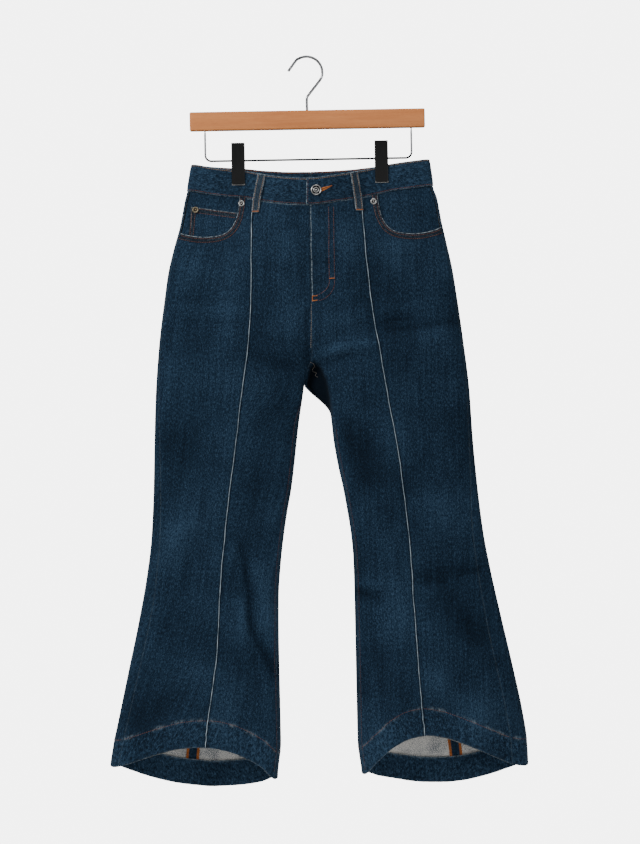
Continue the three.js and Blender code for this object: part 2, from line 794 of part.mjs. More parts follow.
function bandRun(side, run, share) {
  const across = side === 'right' ? Math.abs(run) / 2 : 1 - Math.abs(run) / 2;
  return bandPoint(run < 0 ? 'front' : 'back', across, share);
}

/** A point of the waistband, moved out from the middle of its cloth and by its lap. */
function bandOffset(side, run, share, out) {
  const lap = LAP[side];
  const lapped = run < 0 ? lap.out * smooth((-run - lap.from) / (lap.full - lap.from)) : 0;
  const onBandSide = (a, b) => bandRun(side, a, b);
  const normal = outward(onBandSide, run, share, BAND_STEP.run, BAND_STEP.share);
  return bandRun(side, run, share).addScaledVector(normal, (out + lapped) * SIGN[side]);
}

/** A point off the waistband's outer face over an x on the front or back. */
function onBand(side, face, x, share, out) {
  const across = (x - BAND_SIDES.right.seam) / (BAND_SIDES.left.seam - BAND_SIDES.right.seam);
  const run = 2 * (side === 'right' ? across : 1 - across) * (face === 'front' ? -1 : 1);
  return bandOffset(side, run, share, out);
}

for (const side of SIDES) {
  const toCentreBack = 1 - SEAM_GAP / (2 * BAND_SIDES.left.top);
  const front = BAND_RUNS.map((run) => -run).reverse();
  const runs = [-LAP[side].end, ...front, ...BAND_RUNS.slice(1, -1), toCentreBack];
  const grid = (out) => runs.map((run) =>
    BAND_SHARES.map((share) => bandOffset(side, run, share, out)));
  add(`band_${side}`, wall(grid(BAND_CLOTH / 2), grid(-BAND_CLOTH / 2)), denim);
}

// Belt loops
const LOOP = {
  width: 12, cloth: 2, rows: 6, over: { band: 3.1, body: 2.4 }, step: 9, bow: 0.9, topShare: 0.98,
};
const LOOPS = [
  ['name', 'side', 'face', 'topX', 'bottomX', 'bottomZ'],
  ['front_right', 'right', 'front', -72.9, -80.1, -233.8],
  ['front_left', 'left', 'front', 69.3, 76.1, -233.8],
  ['side_right', 'right', 'back', -139, -143, -219],
  ['side_left', 'left', 'back', 144, 148, -217],
  ['back', 'left', 'back', 1.6, 1.6, -228],
];

/** One cross line of a belt loop: the four corners of its section at a share of its length. */
function loopRing({ side, face, topX, bottomX, bottomZ }, t) {
  const seam = bandSeam(side, turnAt(side, face, bottomX, BAND_SEAM_Z));
  const topZ = seam + BAND_HEIGHT * LOOP.topShare;
  const z = mix(topZ, bottomZ, t);
  const centre = mix(topX, bottomX, t);
  const high = z > seam;
  const stepped = mix(LOOP.over.body, LOOP.over.band, smooth(1 - (seam - z) / LOOP.step));
  const over = (high ? LOOP.over.band : stepped) + LOOP.bow * Math.sin(Math.PI * t) ** 2;
  const corner = (x, out) => (high
    ? onBand(side, face, x, (z - seam) / BAND_HEIGHT, out)
    : bodyOffset(side, turnAt(side, face, x, z), z, out));
  const [a, b] = [centre - LOOP.width / 2, centre + LOOP.width / 2];
  return [corner(a, over + LOOP.cloth / 2), corner(b, over + LOOP.cloth / 2),
    corner(b, over - LOOP.cloth / 2), corner(a, over - LOOP.cloth / 2)];
}

const [loopNames, ...loopLines] = LOOPS;
for (const line of loopLines) {
  const loop = Object.fromEntries(loopNames.map((name, i) => [name, line[i]]));
  const rings = Array.from({ length: LOOP.rows + 1 }, (_, i) => loopRing(loop, i / LOOP.rows));
  add(`loop_${loop.name}`, loft(rings), denim);
}

// Button and rivets: turned pieces set on the cloth along its normal
const turned = (profile, sides) =>
  new THREE.LatheGeometry(profile.map(([radius, height]) => new THREE.Vector2(radius, height)), sides);

/** Adds a turned piece whose axis runs from one point towards another. */
function setOn(name, geometry, material, base, towards) {
  const mesh = add(name, geometry, material, base);
  mesh.quaternion.setFromUnitVectors(point(0, 1, 0), towards.sub(base).normalize());
}

const BUTTON = {
  x: 10.9,
  share: 0.52,
  lift: SEAM_GAP,
  sides: 20,
  profile: [[0, 0], [5, 0], [8.1, 1.6], [8.3, 2.8], [7.2, 3.7], [5.6, 3.2], [3, 3.5], [0, 3.6]],
};
const RIVET = {
  lift: 0.9,
  sides: 14,
  profile: [[0, 0], [4.6, 0], [5, 0.6], [4.4, 1.3], [2.4, 1.1], [1.4, 1.7], [0, 1.8]],
};
const RIVETS = [
  ['right', 'right', -101.2, -219.2, nickel],
  ['left', 'left', 97.6, -219.6, nickel],
  ['coin', 'right', -170.6, -227.6, brass],
];

const underButton = (out) => onBand('left', 'front', BUTTON.x, BUTTON.share, out);
const buttonFoot = BAND_CLOTH / 2 + BUTTON.lift;
setOn('button', turned(BUTTON.profile, BUTTON.sides), nickel, underButton(buttonFoot),
  underButton(2 * buttonFoot));

for (const [name, side, x, z, material] of RIVETS) {
  const underRivet = (out) => bodyOffset(side, turnAt(side, 'front', x, z), z, out);
  const foot = DENIM / 2 + RIVET.lift;
  setOn(`rivet_${name}`, turned(RIVET.profile, RIVET.sides), material, underRivet(foot),
    underRivet(2 * foot));
}

// Hanger
const BAR = { width: 355, top: -79.5, height: 28.5, thick: 12, bevel: 1.6, corner: 3 };
const HOOK = {
  wire: 4,
  sides: 10,
  inner: 22,
  from: 130,
  to: -14,
  steps: 12,
  tip: [-26.6, -18.6],
  tail: [[19.8, -34.4], [2.4, -56.4], [0, -62]],
};
const WIRE = { thick: 3, sides: 8, left: -154.7, right: 156.6, rod: -153.5, corner: 9, steps: 3 };
const CLIP = {
  centres: { right: -105.3, left: 110.9 },
  width: 20,
  top: -127,
  bottom: -191,
  plate: 2.6,
  grip: 5,
};

/** A round rod along points in the plane of the hanger. */
function rod(path, diameter, sides) {
  const rings = path.map(([x, z], i) => {
    const before = path[Math.max(0, i - 1)];
    const after = path[Math.min(path.length - 1, i + 1)];
    const along = point(after[0] - before[0], 0, after[1] - before[1]).normalize();
    const across = along.clone().cross(point(0, 1, 0));
    return Array.from({ length: sides }, (_, k) => {
      const angle = (k / sides) * 4 * QUARTER;
      const depth = (Math.sin(angle) * diameter) / 2;
      return point(x, depth, z).addScaledVector(across, (Math.cos(angle) * diameter) / 2);
    });
  });
  return loft(rings);
}

/** Points on an arc in the plane of the hanger, angles in degrees from +X. */
function arc(x, z, radius, from, to, steps) {
  return Array.from({ length: steps + 1 }, (_, i) => {
    const angle = (mix(from, to, i / steps) * Math.PI) / 180;
    return [x + radius * Math.cos(angle), z + radius * Math.sin(angle)];
  });
}

/** The bar's outline inside its bevel, with rounded corners. */
function barOutline() {
  const x = BAR.width / 2 - BAR.bevel;
  const [low, high] = [BAR.top - BAR.height + BAR.bevel, BAR.top - BAR.bevel];
  const outline = new THREE.Shape();
  outline.moveTo(-x + BAR.corner, low);
  outline.lineTo(x - BAR.corner, low);
  outline.quadraticCurveTo(x, low, x, low + BAR.corner);
  outline.lineTo(x, high - BAR.corner);
  outline.quadraticCurveTo(x, high, x - BAR.corner, high);
  outline.lineTo(-x + BAR.corner, high);
  outline.quadraticCurveTo(-x, high, -x, high - BAR.corner);
  outline.lineTo(-x, low + BAR.corner);
  outline.quadraticCurveTo(-x, low, -x + BAR.corner, low);
  return outline;
}

const bar = new THREE.ExtrudeGeometry(barOutline(), {
  depth: BAR.thick - 2 * BAR.bevel,
  bevelThickness: BAR.bevel,
  bevelSize: BAR.bevel,
  bevelSegments: 2,
  curveSegments: 3,
});
bar.translate(0, 0, BAR.bevel - BAR.thick / 2);
bar.rotateX(QUARTER);
add('hanger_bar', bar, wood);

const hookRadius = HOOK.inner + HOOK.wire / 2;
add('hanger_hook', rod([
  HOOK.tip,
  ...arc(0, -HOOK.inner, hookRadius, HOOK.from, HOOK.to, HOOK.steps),
  ...HOOK.tail,
  [0, BAR.top + SEAM_GAP],
], HOOK.wire, HOOK.sides), chrome);

const wireTop = BAR.top - BAR.height - SEAM_GAP;
add('hanger_wire', rod([
  [WIRE.left, wireTop],
  ...arc(WIRE.left + WIRE.corner, WIRE.rod + WIRE.corner, WIRE.corner, 180, 270, WIRE.steps),
  ...arc(WIRE.right - WIRE.corner, WIRE.rod + WIRE.corner, WIRE.corner, 270, 360, WIRE.steps),
  [WIRE.right, wireTop],
], WIRE.thick, WIRE.sides), chrome);

for (const side of SIDES) {
  const outerY = CLIP.grip + CLIP.plate;
  const saddle = WIRE.rod + WIRE.thick / 2 + SEAM_GAP;
  const profile = new THREE.Shape([
    [-outerY, CLIP.top], [-outerY, CLIP.bottom], [-CLIP.grip, CLIP.bottom], [-CLIP.grip, saddle],
    [CLIP.grip, saddle], [CLIP.grip, CLIP.bottom], [outerY, CLIP.bottom], [outerY, CLIP.top],
  ].map(([y, z]) => new THREE.Vector2(y, z)));
  const clip = new THREE.ExtrudeGeometry(profile, { depth: CLIP.width, bevelEnabled: false });
  clip.rotateX(QUARTER);
  clip.rotateZ(QUARTER);
  clip.translate(CLIP.centres[side] - CLIP.width / 2, 0, 0);
  add(`clip_${side}`, clip, blackMetal);
}

export default jeans;
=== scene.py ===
"""Looks of cropped flared jeans hung by the waistband from a wooden clip hanger.

The tables and sizes are in millimetres in the part's own frame and become metres where a mesh
is made. The front faces -Y and the wearer's left leg is on +X. The turn is the angle round one
side of the garment: zero faces forward, a quarter is the outside edge, two quarters face back.
"""

import functools
import logging
import math
from dataclasses import dataclass, field
from enum import Enum
from typing import Callable, Sequence

import bpy
import numpy as np
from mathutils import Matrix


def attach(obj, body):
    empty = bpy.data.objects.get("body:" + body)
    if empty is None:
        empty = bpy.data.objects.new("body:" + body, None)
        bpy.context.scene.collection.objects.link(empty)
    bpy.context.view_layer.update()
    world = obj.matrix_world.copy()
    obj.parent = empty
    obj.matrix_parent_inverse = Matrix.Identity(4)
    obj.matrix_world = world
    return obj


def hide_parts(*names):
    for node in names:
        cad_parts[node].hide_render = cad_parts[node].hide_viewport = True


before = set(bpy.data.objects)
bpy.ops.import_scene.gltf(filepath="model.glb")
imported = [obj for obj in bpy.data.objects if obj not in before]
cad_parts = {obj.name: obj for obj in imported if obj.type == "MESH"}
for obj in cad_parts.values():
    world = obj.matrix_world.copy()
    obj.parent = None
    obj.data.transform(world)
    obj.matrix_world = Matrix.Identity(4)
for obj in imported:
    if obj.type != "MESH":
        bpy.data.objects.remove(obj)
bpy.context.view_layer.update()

Array = np.ndarray
Colour = tuple[float, float, float]
Along = Callable[[Array], Array]

MM = 0.001
QUARTER = math.pi / 2
LOG = logging.getLogger("jeans")


class Side(Enum):
    """A side of the garment, named for the wearer."""

    RIGHT = "right"
    LEFT = "left"

    @property
    def sign(self) -> int:
        """The sign of x on this side."""
        return -1 if self is Side.RIGHT else 1


class Face(Enum):
    """The front or the back of the garment."""

    FRONT = "front"
    BACK = "back"


class Slot(Enum):
    """The record's material slots."""

    DENIM = "denim"
    THREAD = "thread"
    NICKEL = "nickel"
    BRASS = "brass"
    WOOD = "wood"
    CHROME = "chrome"
    CLIP = "clip"


def clamp(t: Array) -> Array:
    """Limit to 0 and 1."""
    return np.clip(t, 0.0, 1.0)


def smooth(t: Array) -> Array:
    """Ease from 0 to 1."""
    t = clamp(t)
    return t * t * (3 - 2 * t)


def mix(a: Array, b: Array, t: Array) -> Array:
    """Blend from a to b."""
    return a + (b - a) * t


def bell(away: Array) -> Array:
    """A soft hump, 1 at 0."""
    return np.exp(-away * away)


def quarter_round(away: Array, radius: float) -> Array:
    """Height of a rounded edge at a distance from it, from 0 to 1 at the radius."""
    return np.sqrt(1 - (1 - clamp(away / radius)) ** 2)


def unit(vectors: Array) -> Array:
    """Vectors of length 1."""
    return vectors / np.maximum(np.linalg.norm(vectors, axis=-1, keepdims=True), 1e-9)


class Table:
    """A table with named columns, read smoothly along its first column."""

    def __init__(self, names: Sequence[str], lines: Sequence[Sequence[float]]) -> None:
        """Keep the lines.

        Args:
            names: the column names, the first for where the line stands.
            lines: the values, a line for each place, in rising or falling order.
        """
        values = np.array(lines, dtype=float)
        if values[0, 0] > values[-1, 0]:
            values = values[::-1]
        self.where = values[:, 0]
        self.columns = {name: values[:, i] for i, name in enumerate(names)}

    def read(self, name: str, at: Array) -> Array:
        """Follow a column.

        Args:
            name: the column.
            at: where to read it.

        Returns:
            The values, level at both ends and without overshoot.
        """
        values = self.columns[name]
        steps = np.diff(self.where)
        rises = np.diff(values) / steps
        before, after = rises[:-1], rises[1:]
        same_way = before * after > 0
        total = np.where(same_way, before + after, 1.0)
        inner = np.where(same_way, 2 * before * after / total, 0.0)
        slopes = np.concatenate([[0.0], inner, [0.0]])
        at = np.clip(np.asarray(at, dtype=float), self.where[0], self.where[-1])
        i = np.clip(np.searchsorted(self.where, at, side="right") - 1, 0, len(steps) - 1)
        t = (at - self.where[i]) / steps[i]
        a, b = slopes[i] * steps[i], slopes[i + 1] * steps[i]
        rise = values[i + 1] - values[i]
        return values[i] + t * (a + t * (3 * rise - 2 * a - b + t * (a + b - 2 * rise)))


# Cloth and main lines
DENIM = 1.6
SEAM_GAP = 0.3
BAND_CLOTH = 3.0
BAND_HEIGHT = 40.5
BAND_SEAM_GAP = 0.5
RUN_LENGTH = 185
CENTRE_X = 1.5
BAND_SEAM_Z = -205.0
CROTCH_Z = -496.0
HEM_Z = -1070.0
HEM_DEPTH = 40.0
INNER_LAYER = -2.2
STRETCHES = ("upper", "middle", "lower")
BAND_TOP_X = {Side.RIGHT: -175.2, Side.LEFT: 182.4}
BAND_SEAM_X = {Side.RIGHT: -182.6, Side.LEFT: 187.6}

OUTSIDE = Table(("z", "right", "left"), (
    (-197, -182.6, 187.6),
    (-215, -186.6, 193.2),
    (-251, -194, 199.5),
    (-287, -204.5, 207.2),
    (-323, -213.4, 214.6),
    (-360, -219.2, 220),
    (-432, -229, 229.2),
    (-505, -235.2, 237),
    (-577, -238.4, 240.8),
    (-650, -241, 246.6),
    (-722, -245.6, 254.6),
    (-776, -253, 264),
    (-849, -267.2, 279.2),
    (-921, -283.5, 294.8),
    (-994, -299.9, 309.2),
    (-1034, -308.8, 314.6),
    (-1072, -314, 316),
))

INSIDE = Table(("z", "right", "left"), (
    (-197, CENTRE_X, CENTRE_X),
    (-440, CENTRE_X, CENTRE_X),
    (-456, 0, 0),
    (-466, -4.6, -4.6),
    (CROTCH_Z, -11.4, -11.4),
    (-497.5, -11.6, -10.2),
    (-536, -17.8, 26.2),
    (-541, -18.7, 27.2),
    (-577, -23.6, 30.8),
    (-613, -28, 36.4),
    (-650, -33.2, 44),
    (-686, -40.2, 50),
    (-722, -46, 55),
    (-758, -50.6, 57.6),
    (-812, -55, 58.4),
    (-885, -56, 58.6),
    (-1030, -55.4, 59.2),
    (-1086, -61, 64.6),
))

FRONT_SEAM = Table(("z", "right", "left"), (
    (-205, -82, 78.5),
    (-239, -85.6, 80.5),
    (-293, -87.6, 83.6),
    (-351, -88.2, 89.6),
    (-402, -91.6, 95.6),
    (-444, -96.6, 102.4),
    (-528, -108.4, 116.6),
    (-612, -120.6, 129.8),
    (-697, -132, 139.6),
    (-759, -139.6, 144.2),
    (-828, -144.8, 147.8),
    (-900, -150.2, 151.4),
    (-957, -158, 155.4),
    (-1037, -168.6, 159.6),
))

BACK_SEAM = Table(("z", "right", "left"), (
    (-205, -90, 93),
    (-320, -95, 99),
    (-500, -116, 121),
    (-700, -144, 151),
    (-900, -170, 184),
    (-1100, -194, 212),
))

OUTSEAM_INSET = Table(("z", "right", "left"), (
    (-197, 2.6, 2.6),
    (-440, 2.8, 3),
    (-500, 4.4, 4.4),
    (-577, 8, 6),
    (-640, 10.6, 9.4),
    (-700, 12.4, 15),
    (-760, 14, 18.4),
    (-830, 16.8, 22.4),
    (-900, 16.4, 25),
    (-1072, 14, 25.6),
))

DEPTH = Table(("z", "front", "back", "edge"), (
    (-197, 17, 18, 4.6),
    (-260, 22, 26, 4.4),
    (-330, 25, 33, 4.2),
    (-420, 25, 34, 4),
    (-500, 22, 29, 4),
    (-600, 19, 24, 4),
    (-700, 16, 20, 4),
    (-790, 16, 19, 4),
    (-880, 20, 23, 4.4),
    (-960, 25, 28, 5),
    (-1040, 31, 34, 6),
    (-1100, 35, 38, 6.6),
))

WAIST = Table(("across", "front_top", "back_top", "front_bow", "back_bow"), (
    (0, -158.4, -158.4, 4.6, 4.6),
    (0.09, -163.8, -161.6, 4.8, 4.8),
    (0.163, -167.2, -163.8, 3.2, 3.2),
    (0.227, -169.4, -165.6, 3.2, 3.2),
    (0.31, -176, -168.4, 9, 8),
    (0.4, -181, -169.8, 15.4, 14),
    (0.5, -183, -170, 18, 16.4),
    (0.6, -179, -169.4, 15.4, 14),
    (0.69, -173.6, -168.2, 9, 8),
    (0.768, -168, -166, 3.2, 3.2),
    (0.832, -163, -163.2, 3.2, 3.2),
    (0.91, -159.6, -160.4, 4.8, 4.8),
    (1, -156.6, -156.6, 4.6, 4.6),
))

HEM = Table(("across", "right_front", "right_back", "left_front", "left_back"), (
    (0, -1086.5, -1086.5, -1081.5, -1081.5),
    (0.1, -1066, -1096, -1061, -1090),
    (0.2, -1051, -1101, -1039.5, -1095.5),
    (0.3, -1040.5, -1103, -1026.5, -1100.5),
    (0.4, -1035, -1103.5, -1022, -1103.2),
    (0.5, -1034, -1101.5, -1025.5, -1104),
    (0.6, -1036, -1098, -1034, -1102),
    (0.7, -1042, -1092, -1044.5, -1097),
    (0.8, -1050, -1084, -1056.5, -1090),
    (0.9, -1058.5, -1073.5, -1067.5, -1080.5),
    (1, -1063.5, -1063.5, -1072, -1072),
))

WEB_RIDGE = Table(("z", "x"), ((-452, 4), (-474, 17), (-500, 25), (-552, 30)))


@dataclass(frozen=True)
class Fold:
    """A soft trough between two points of one face; a negative depth stands proud.

    Its steepness is how many times narrower it is on the -X side of a line that runs down.
    """

    face: Face
    x1: float
    z1: float
    x2: float
    z2: float
    width: float
    depth: float
    steepness: float = 1.0

    def read(self, x: Array, z: Array) -> Array:
        """How far this fold pushes the cloth in at places of its face.

        Args:
            x: the places across.
            z: the heights.

        Returns:
            The depths.
        """
        along_x, along_z = self.x2 - self.x1, self.z2 - self.z1
        length = along_x**2 + along_z**2
        t = clamp(((x - self.x1) * along_x + (z - self.z1) * along_z) / length)
        away = np.hypot(x - self.x1 - t * along_x, z - self.z1 - t * along_z)
        beside = along_x * (z - self.z1) - along_z * (x - self.x1)
        width = np.where(beside < 0, self.width / self.steepness, self.width)
        return self.depth * bell(away / width)


def folds(face: Face, *lines: Sequence[float]) -> list[Fold]:
    """The folds of one face, from lines of x1, z1, x2, z2, width, depth and any steepness."""
    return [Fold(face, *line) for line in lines]


KNEE_CREASE = folds(
    Face.FRONT,
    (-110, -738, -103, -774, 8, 2.6, 1.9),
    (-103, -774, -98.6, -809, 9, 3.8, 1.9),
    (-98.6, -809, -98.8, -844, 9.5, 4.8, 2.0),
    (-98.8, -844, -94, -867, 9.5, 5.0, 2.0),
    (-94, -867, -76, -902, 10, 5.0, 2.0),
    (-76, -902, -60, -930, 11, 4.8, 1.9),
)

FOLDS = folds(
    Face.FRONT,
    (-93, -904, -88, -940, 7, 1.8, 1.6),
    (-3, -384, -4, -462, 4.5, 2.4),
    (-112, -820, -108, -880, 11, -2.6),
    (-82, -770, -70, -850, 12, -2.4),
    (-100, -905, -74, -950, 10, -2.2),
    (-190, -700, -232, -760, 24, -3),
    (-200, -960, -262, -990, 26, 3),
    (-178, -560, -206, -640, 20, 1.6),
    (-40, -520, -86, -560, 14, 1.8),
    (-30, -470, -84, -452, 9, 1.6),
    (-20, -432, -76, -420, 8, 1.1),
    (-110, -404, -170, -396, 8, 1),
    (-112, -372, -196, -362, 9, 1.2),
    (-116, -330, -180, -318, 12, -1.2),
    (-12, -330, -60, -318, 9, 0.9),
    (-8, -262, -58, -252, 9, 1),
    (-52, -226, -30, -300, 12, -1),
    (-140, -286, -126, -330, 9, 1),
    (56, -806, 96, -816, 9, 4.2),
    (58, -792, 92, -798, 9, -2),
    (167, -791, 196, -795, 5, 2),
    (220, -782, 246, -779, 5, 2),
    (160, -786, 246, -776, 14, 2.4),
    (150, -806, 176, -812, 8, -1.4),
    (232, -863, 269, -914, 22, 4.4),
    (206, -820, 244, -880, 16, 1.6),
    (106, -404, 153, -397, 4.5, 1.5),
    (118, -416, 224, -404, 5, 1.5),
    (104, -410, 226, -400, 16, 1.8),
    (112, -386, 168, -378, 7, -1),
    (11, -452, 40, -443, 8, -2),
    (40, -443, 89, -435, 9, -2.2),
    (12, -464, 60, -452, 8, 1.6),
    (44, -420, 86, -408, 8, 0.9),
    (46, -380, 84, -368, 8, 1),
    (60, -560, 90, -640, 22, 3),
    (150, -560, 190, -640, 24, 1.6),
    (40, -540, 66, -600, 9, 1.4),
    (3, -270, 34, -278, 4.5, 1.3),
    (3, -309, 30, -313, 4.5, 1.2),
    (5, -344, 26, -339, 4, 0.9),
    (20, -278, 21, -326, 2.6, -0.8),
    (26, -280, 27, -330, 2.4, 0.8),
    (46, -230, 62, -300, 10, -1),
    (118, -292, 150, -340, 14, -1.4),
    (70, -668, 120, -690, 16, 1.2),
    (180, -940, 230, -1000, 22, -2.4),
    (96, -900, 104, -1000, 14, 2),
) + folds(
    Face.BACK,
    (-60, -470, -190, -530, 18, 4.4),
    (-44, -500, -120, -548, 10, 2),
    (-70, -446, -170, -476, 9, 1.6),
    (-70, -780, -200, -800, 16, 4),
    (-88, -806, -170, -830, 9, 1.8),
    (-110, -850, -90, -960, 24, -4),
    (-20, -440, -84, -470, 9, 1.8),
    (-190, -560, -214, -680, 22, 2),
    (-150, -900, -180, -1010, 20, 2.6),
    (-36, -250, -120, -262, 10, 1),
    (40, -490, 180, -540, 18, 4.4),
    (52, -520, 120, -566, 10, 2),
    (70, -450, 176, -484, 9, 1.6),
    (76, -770, 210, -806, 18, 4),
    (96, -800, 170, -836, 9, 1.8),
    (230, -840, 250, -960, 24, -4),
    (16, -446, 80, -476, 9, 1.8),
    (196, -560, 220, -690, 22, 2),
    (150, -900, 180, -1010, 20, 2.6),
    (36, -252, 124, -260, 10, 1),
)


@dataclass(frozen=True)
class Undulation:
    """Low waves in many directions, as cloth has where nothing pulls it flat."""

    seed: int
    count: int
    shortest: float
    longest: float
    height: float
    upright: float

    def read(self, x: Array, z: Array) -> Array:
        """The height of the waves at places.

        Args:
            x: the places across.
            z: the heights.

        Returns:
            The heights.
        """
        draw = np.random.default_rng(self.seed)
        total = np.zeros(np.broadcast(x, z).shape)
        for _ in range(self.count):
            step = 2 * math.pi / draw.uniform(self.shortest, self.longest)
            lean = draw.normal(0, self.upright)
            phase = draw.uniform(0, 2 * math.pi)
            total += np.sin(step * (x * math.cos(lean) + z * math.sin(lean)) + phase)
        return self.height * total / math.sqrt(self.count)


BROAD_WAVES = Undulation(seed=11, count=9, shortest=70, longest=190, height=1.1, upright=0.9)
SMALL_WAVES = Undulation(seed=23, count=14, shortest=16, longest=48, height=0.22, upright=0.7)


@dataclass(frozen=True)
class HemRoping:
    """The twisted look of a stitched hem: slanting ribs and a groove under the stitches."""

    pitch: float = 13.0
    slant: float = 0.75
    height: float = 0.42
    middle: float = 19.0
    reach: float = 17.0
    groove: float = 0.5
    groove_width: float = 1.7

    def read(self, x: Array, up: Array) -> Array:
        """How far the cloth is pushed in at a distance above the lower edge.

        Args:
            x: the places across.
            up: the distances above the lower edge.

        Returns:
            The depths.
        """
        wobble = 1.6 * np.sin(x / 31.0) + 1.1 * np.sin(x / 12.7 + 1.0)
        ribs = np.sin(2 * math.pi * (x + self.slant * up + wobble) / self.pitch)
        held = bell((up - self.middle) / self.reach)
        return self.height * held * ribs + self.groove * bell((up - HEM_DEPTH) / self.groove_width)


class Form:
    """The shape in which the garment hangs: the middle of its cloth, and offsets from it."""

    swing = {Face.FRONT: (-396.0, 100.0), Face.BACK: (-330.0, 166.0)}
    lead_angle = 0.27
    lead_length = 60.0
    parts_over = 12.0
    opening_z = -176.0
    opening_length = 140.0
    fullness = 0.9
    fade_gain = 2.4
    fade_from = 0.2
    web_top, web_full, web_low, web_bottom = -452.0, -474.0, -520.0, -552.0
    web_drop, web_width, web_reach, web_meets, web_over = 15.0, 8.0, 26.0, 14.0, 10.0
    yoke_side, yoke_centre, yoke_curve = 34.0, 66.0, 1.2
    turn_step = 0.004
    height_step = 0.6

    def __init__(self) -> None:
        """Start with the hem's roping."""
        self.roping = HemRoping()

    def centre_turn(self, face: Face, z: Array) -> Array:
        """The turn of the centre seam, which swings under the body below the fly."""
        start, length = self.swing[face]
        return -QUARTER * smooth((start - z) / length)

    def lead(self, z: Array) -> Array:
        """How far the inseam leads forward of the inside edge."""
        return self.lead_angle * smooth((CROTCH_Z - z) / self.lead_length)

    def inner_turn(self, z: Array) -> Array:
        """The turn of the centre front and inseam."""
        return self.centre_turn(Face.FRONT, z) + self.lead(z)

    def inner_back_turn(self, z: Array) -> Array:
        """The turn of the centre back and inseam, counted round from the front."""
        return 2 * QUARTER - self.centre_turn(Face.BACK, z) + self.lead(z)

    def half_width(self, side: Side, face: Face, z: Array) -> Array:
        """Half the width of the section that a face is part of, with the side's sign.

        Args:
            side: the side of the garment.
            face: its front or back.
            z: the heights.

        Returns:
            The half widths.
        """
        under = -np.sin(self.centre_turn(face, z))
        parted = smooth((CROTCH_Z + self.parts_over - z) / self.parts_over)
        clear = side.sign * under * (DENIM / 2 + SEAM_GAP) * parted
        inside = INSIDE.read(side.value, z) + clear
        return (OUTSIDE.read(side.value, z) - inside) / (1 + under)

    def turn_at(self, side: Side, face: Face, x: Array, z: Array) -> Array:
        """The turn at which a face passes an x.

        Args:
            side: the side of the garment.
            face: its front or back.
            x: the places across.
            z: the heights.

        Returns:
            The turns.
        """
        away = (OUTSIDE.read(side.value, z) - x) / self.half_width(side, face, z)
        turn = np.arcsin(np.clip(1 - away, -1, 1))
        return turn if face is Face.FRONT else 2 * QUARTER - turn

    def outseam(self, side: Side) -> Along:
        """The turn of the side seam over the height.

        Args:
            side: the side of the garment.

        Returns:
            A function that gives the turn at a height.
        """
        def at(z: Array) -> Array:
            """The turn at a height."""
            inset = side.sign * OUTSEAM_INSET.read(side.value, z)
            return self.turn_at(side, Face.FRONT, OUTSIDE.read(side.value, z) - inset, z)
        return at

    def front_seam(self, side: Side) -> Along:
        """The turn of the raised front seam over the height."""
        return lambda z: self.turn_at(side, Face.FRONT, FRONT_SEAM.read(side.value, z), z)

    def back_seam(self, side: Side) -> Along:
        """The turn of the back leg's seam over the height."""
        return lambda z: self.turn_at(side, Face.BACK, BACK_SEAM.read(side.value, z), z)

    def relief(self, front: Array, x: Array, z: Array) -> Array:
        """How far folds and waves push the cloth in.

        Args:
            front: whether each place is on the front.
            x: the places across.
            z: their heights.

        Returns:
            The depths, positive towards the inside.
        """
        depth = {Face.FRONT: np.zeros(x.shape), Face.BACK: np.zeros(x.shape)}
        for fold in FOLDS:
            depth[fold.face] += fold.read(x, z)
        depth[Face.FRONT] += np.max([fold.read(x, z) for fold in KNEE_CREASE], axis=0)
        waves = BROAD_WAVES.read(x, z) * smooth((-215 - z) / 60) + SMALL_WAVES.read(x, z)
        return np.where(front, depth[Face.FRONT] + waves, depth[Face.BACK] - waves)

    def web(self, front: Array, x: Array, z: Array) -> Array:
        """How far the inside of the left thigh drops back behind the front of the leg.

        Args:
            front: whether each place is on the front.
            x: the places across.
            z: the heights.

        Returns:
            The distances towards the back.
        """
        inside = INSIDE.read("left", z)
        below = smooth((self.web_top - z) / (self.web_top - self.web_full))
        above = smooth((z - self.web_bottom) / (self.web_low - self.web_bottom))
        behind = smooth((WEB_RIDGE.read("x", z) - x) / self.web_width + 0.5)
        near_seam = smooth((z - CROTCH_Z + self.web_meets) / self.web_over)
        from_seam = mix(1, smooth((x - inside) / self.web_width), near_seam)
        at_back = np.where(front, 1.0, 1 - smooth((x - inside) / self.web_reach))
        return self.web_drop * below * above * behind * from_seam * at_back

    def hem_height(self, side: Side, turn: Array) -> Array:
        """The height of the leg opening's edge at a turn.

        Args:
            side: the side of the garment.
            turn: the turns.

        Returns:
            The heights.
        """
        across = (1 + np.sin(turn)) / 2
        front = HEM.read(f"{side.value}_front", across)
        back = HEM.read(f"{side.value}_back", across)
        return np.where(np.cos(turn) >= 0, front, back)

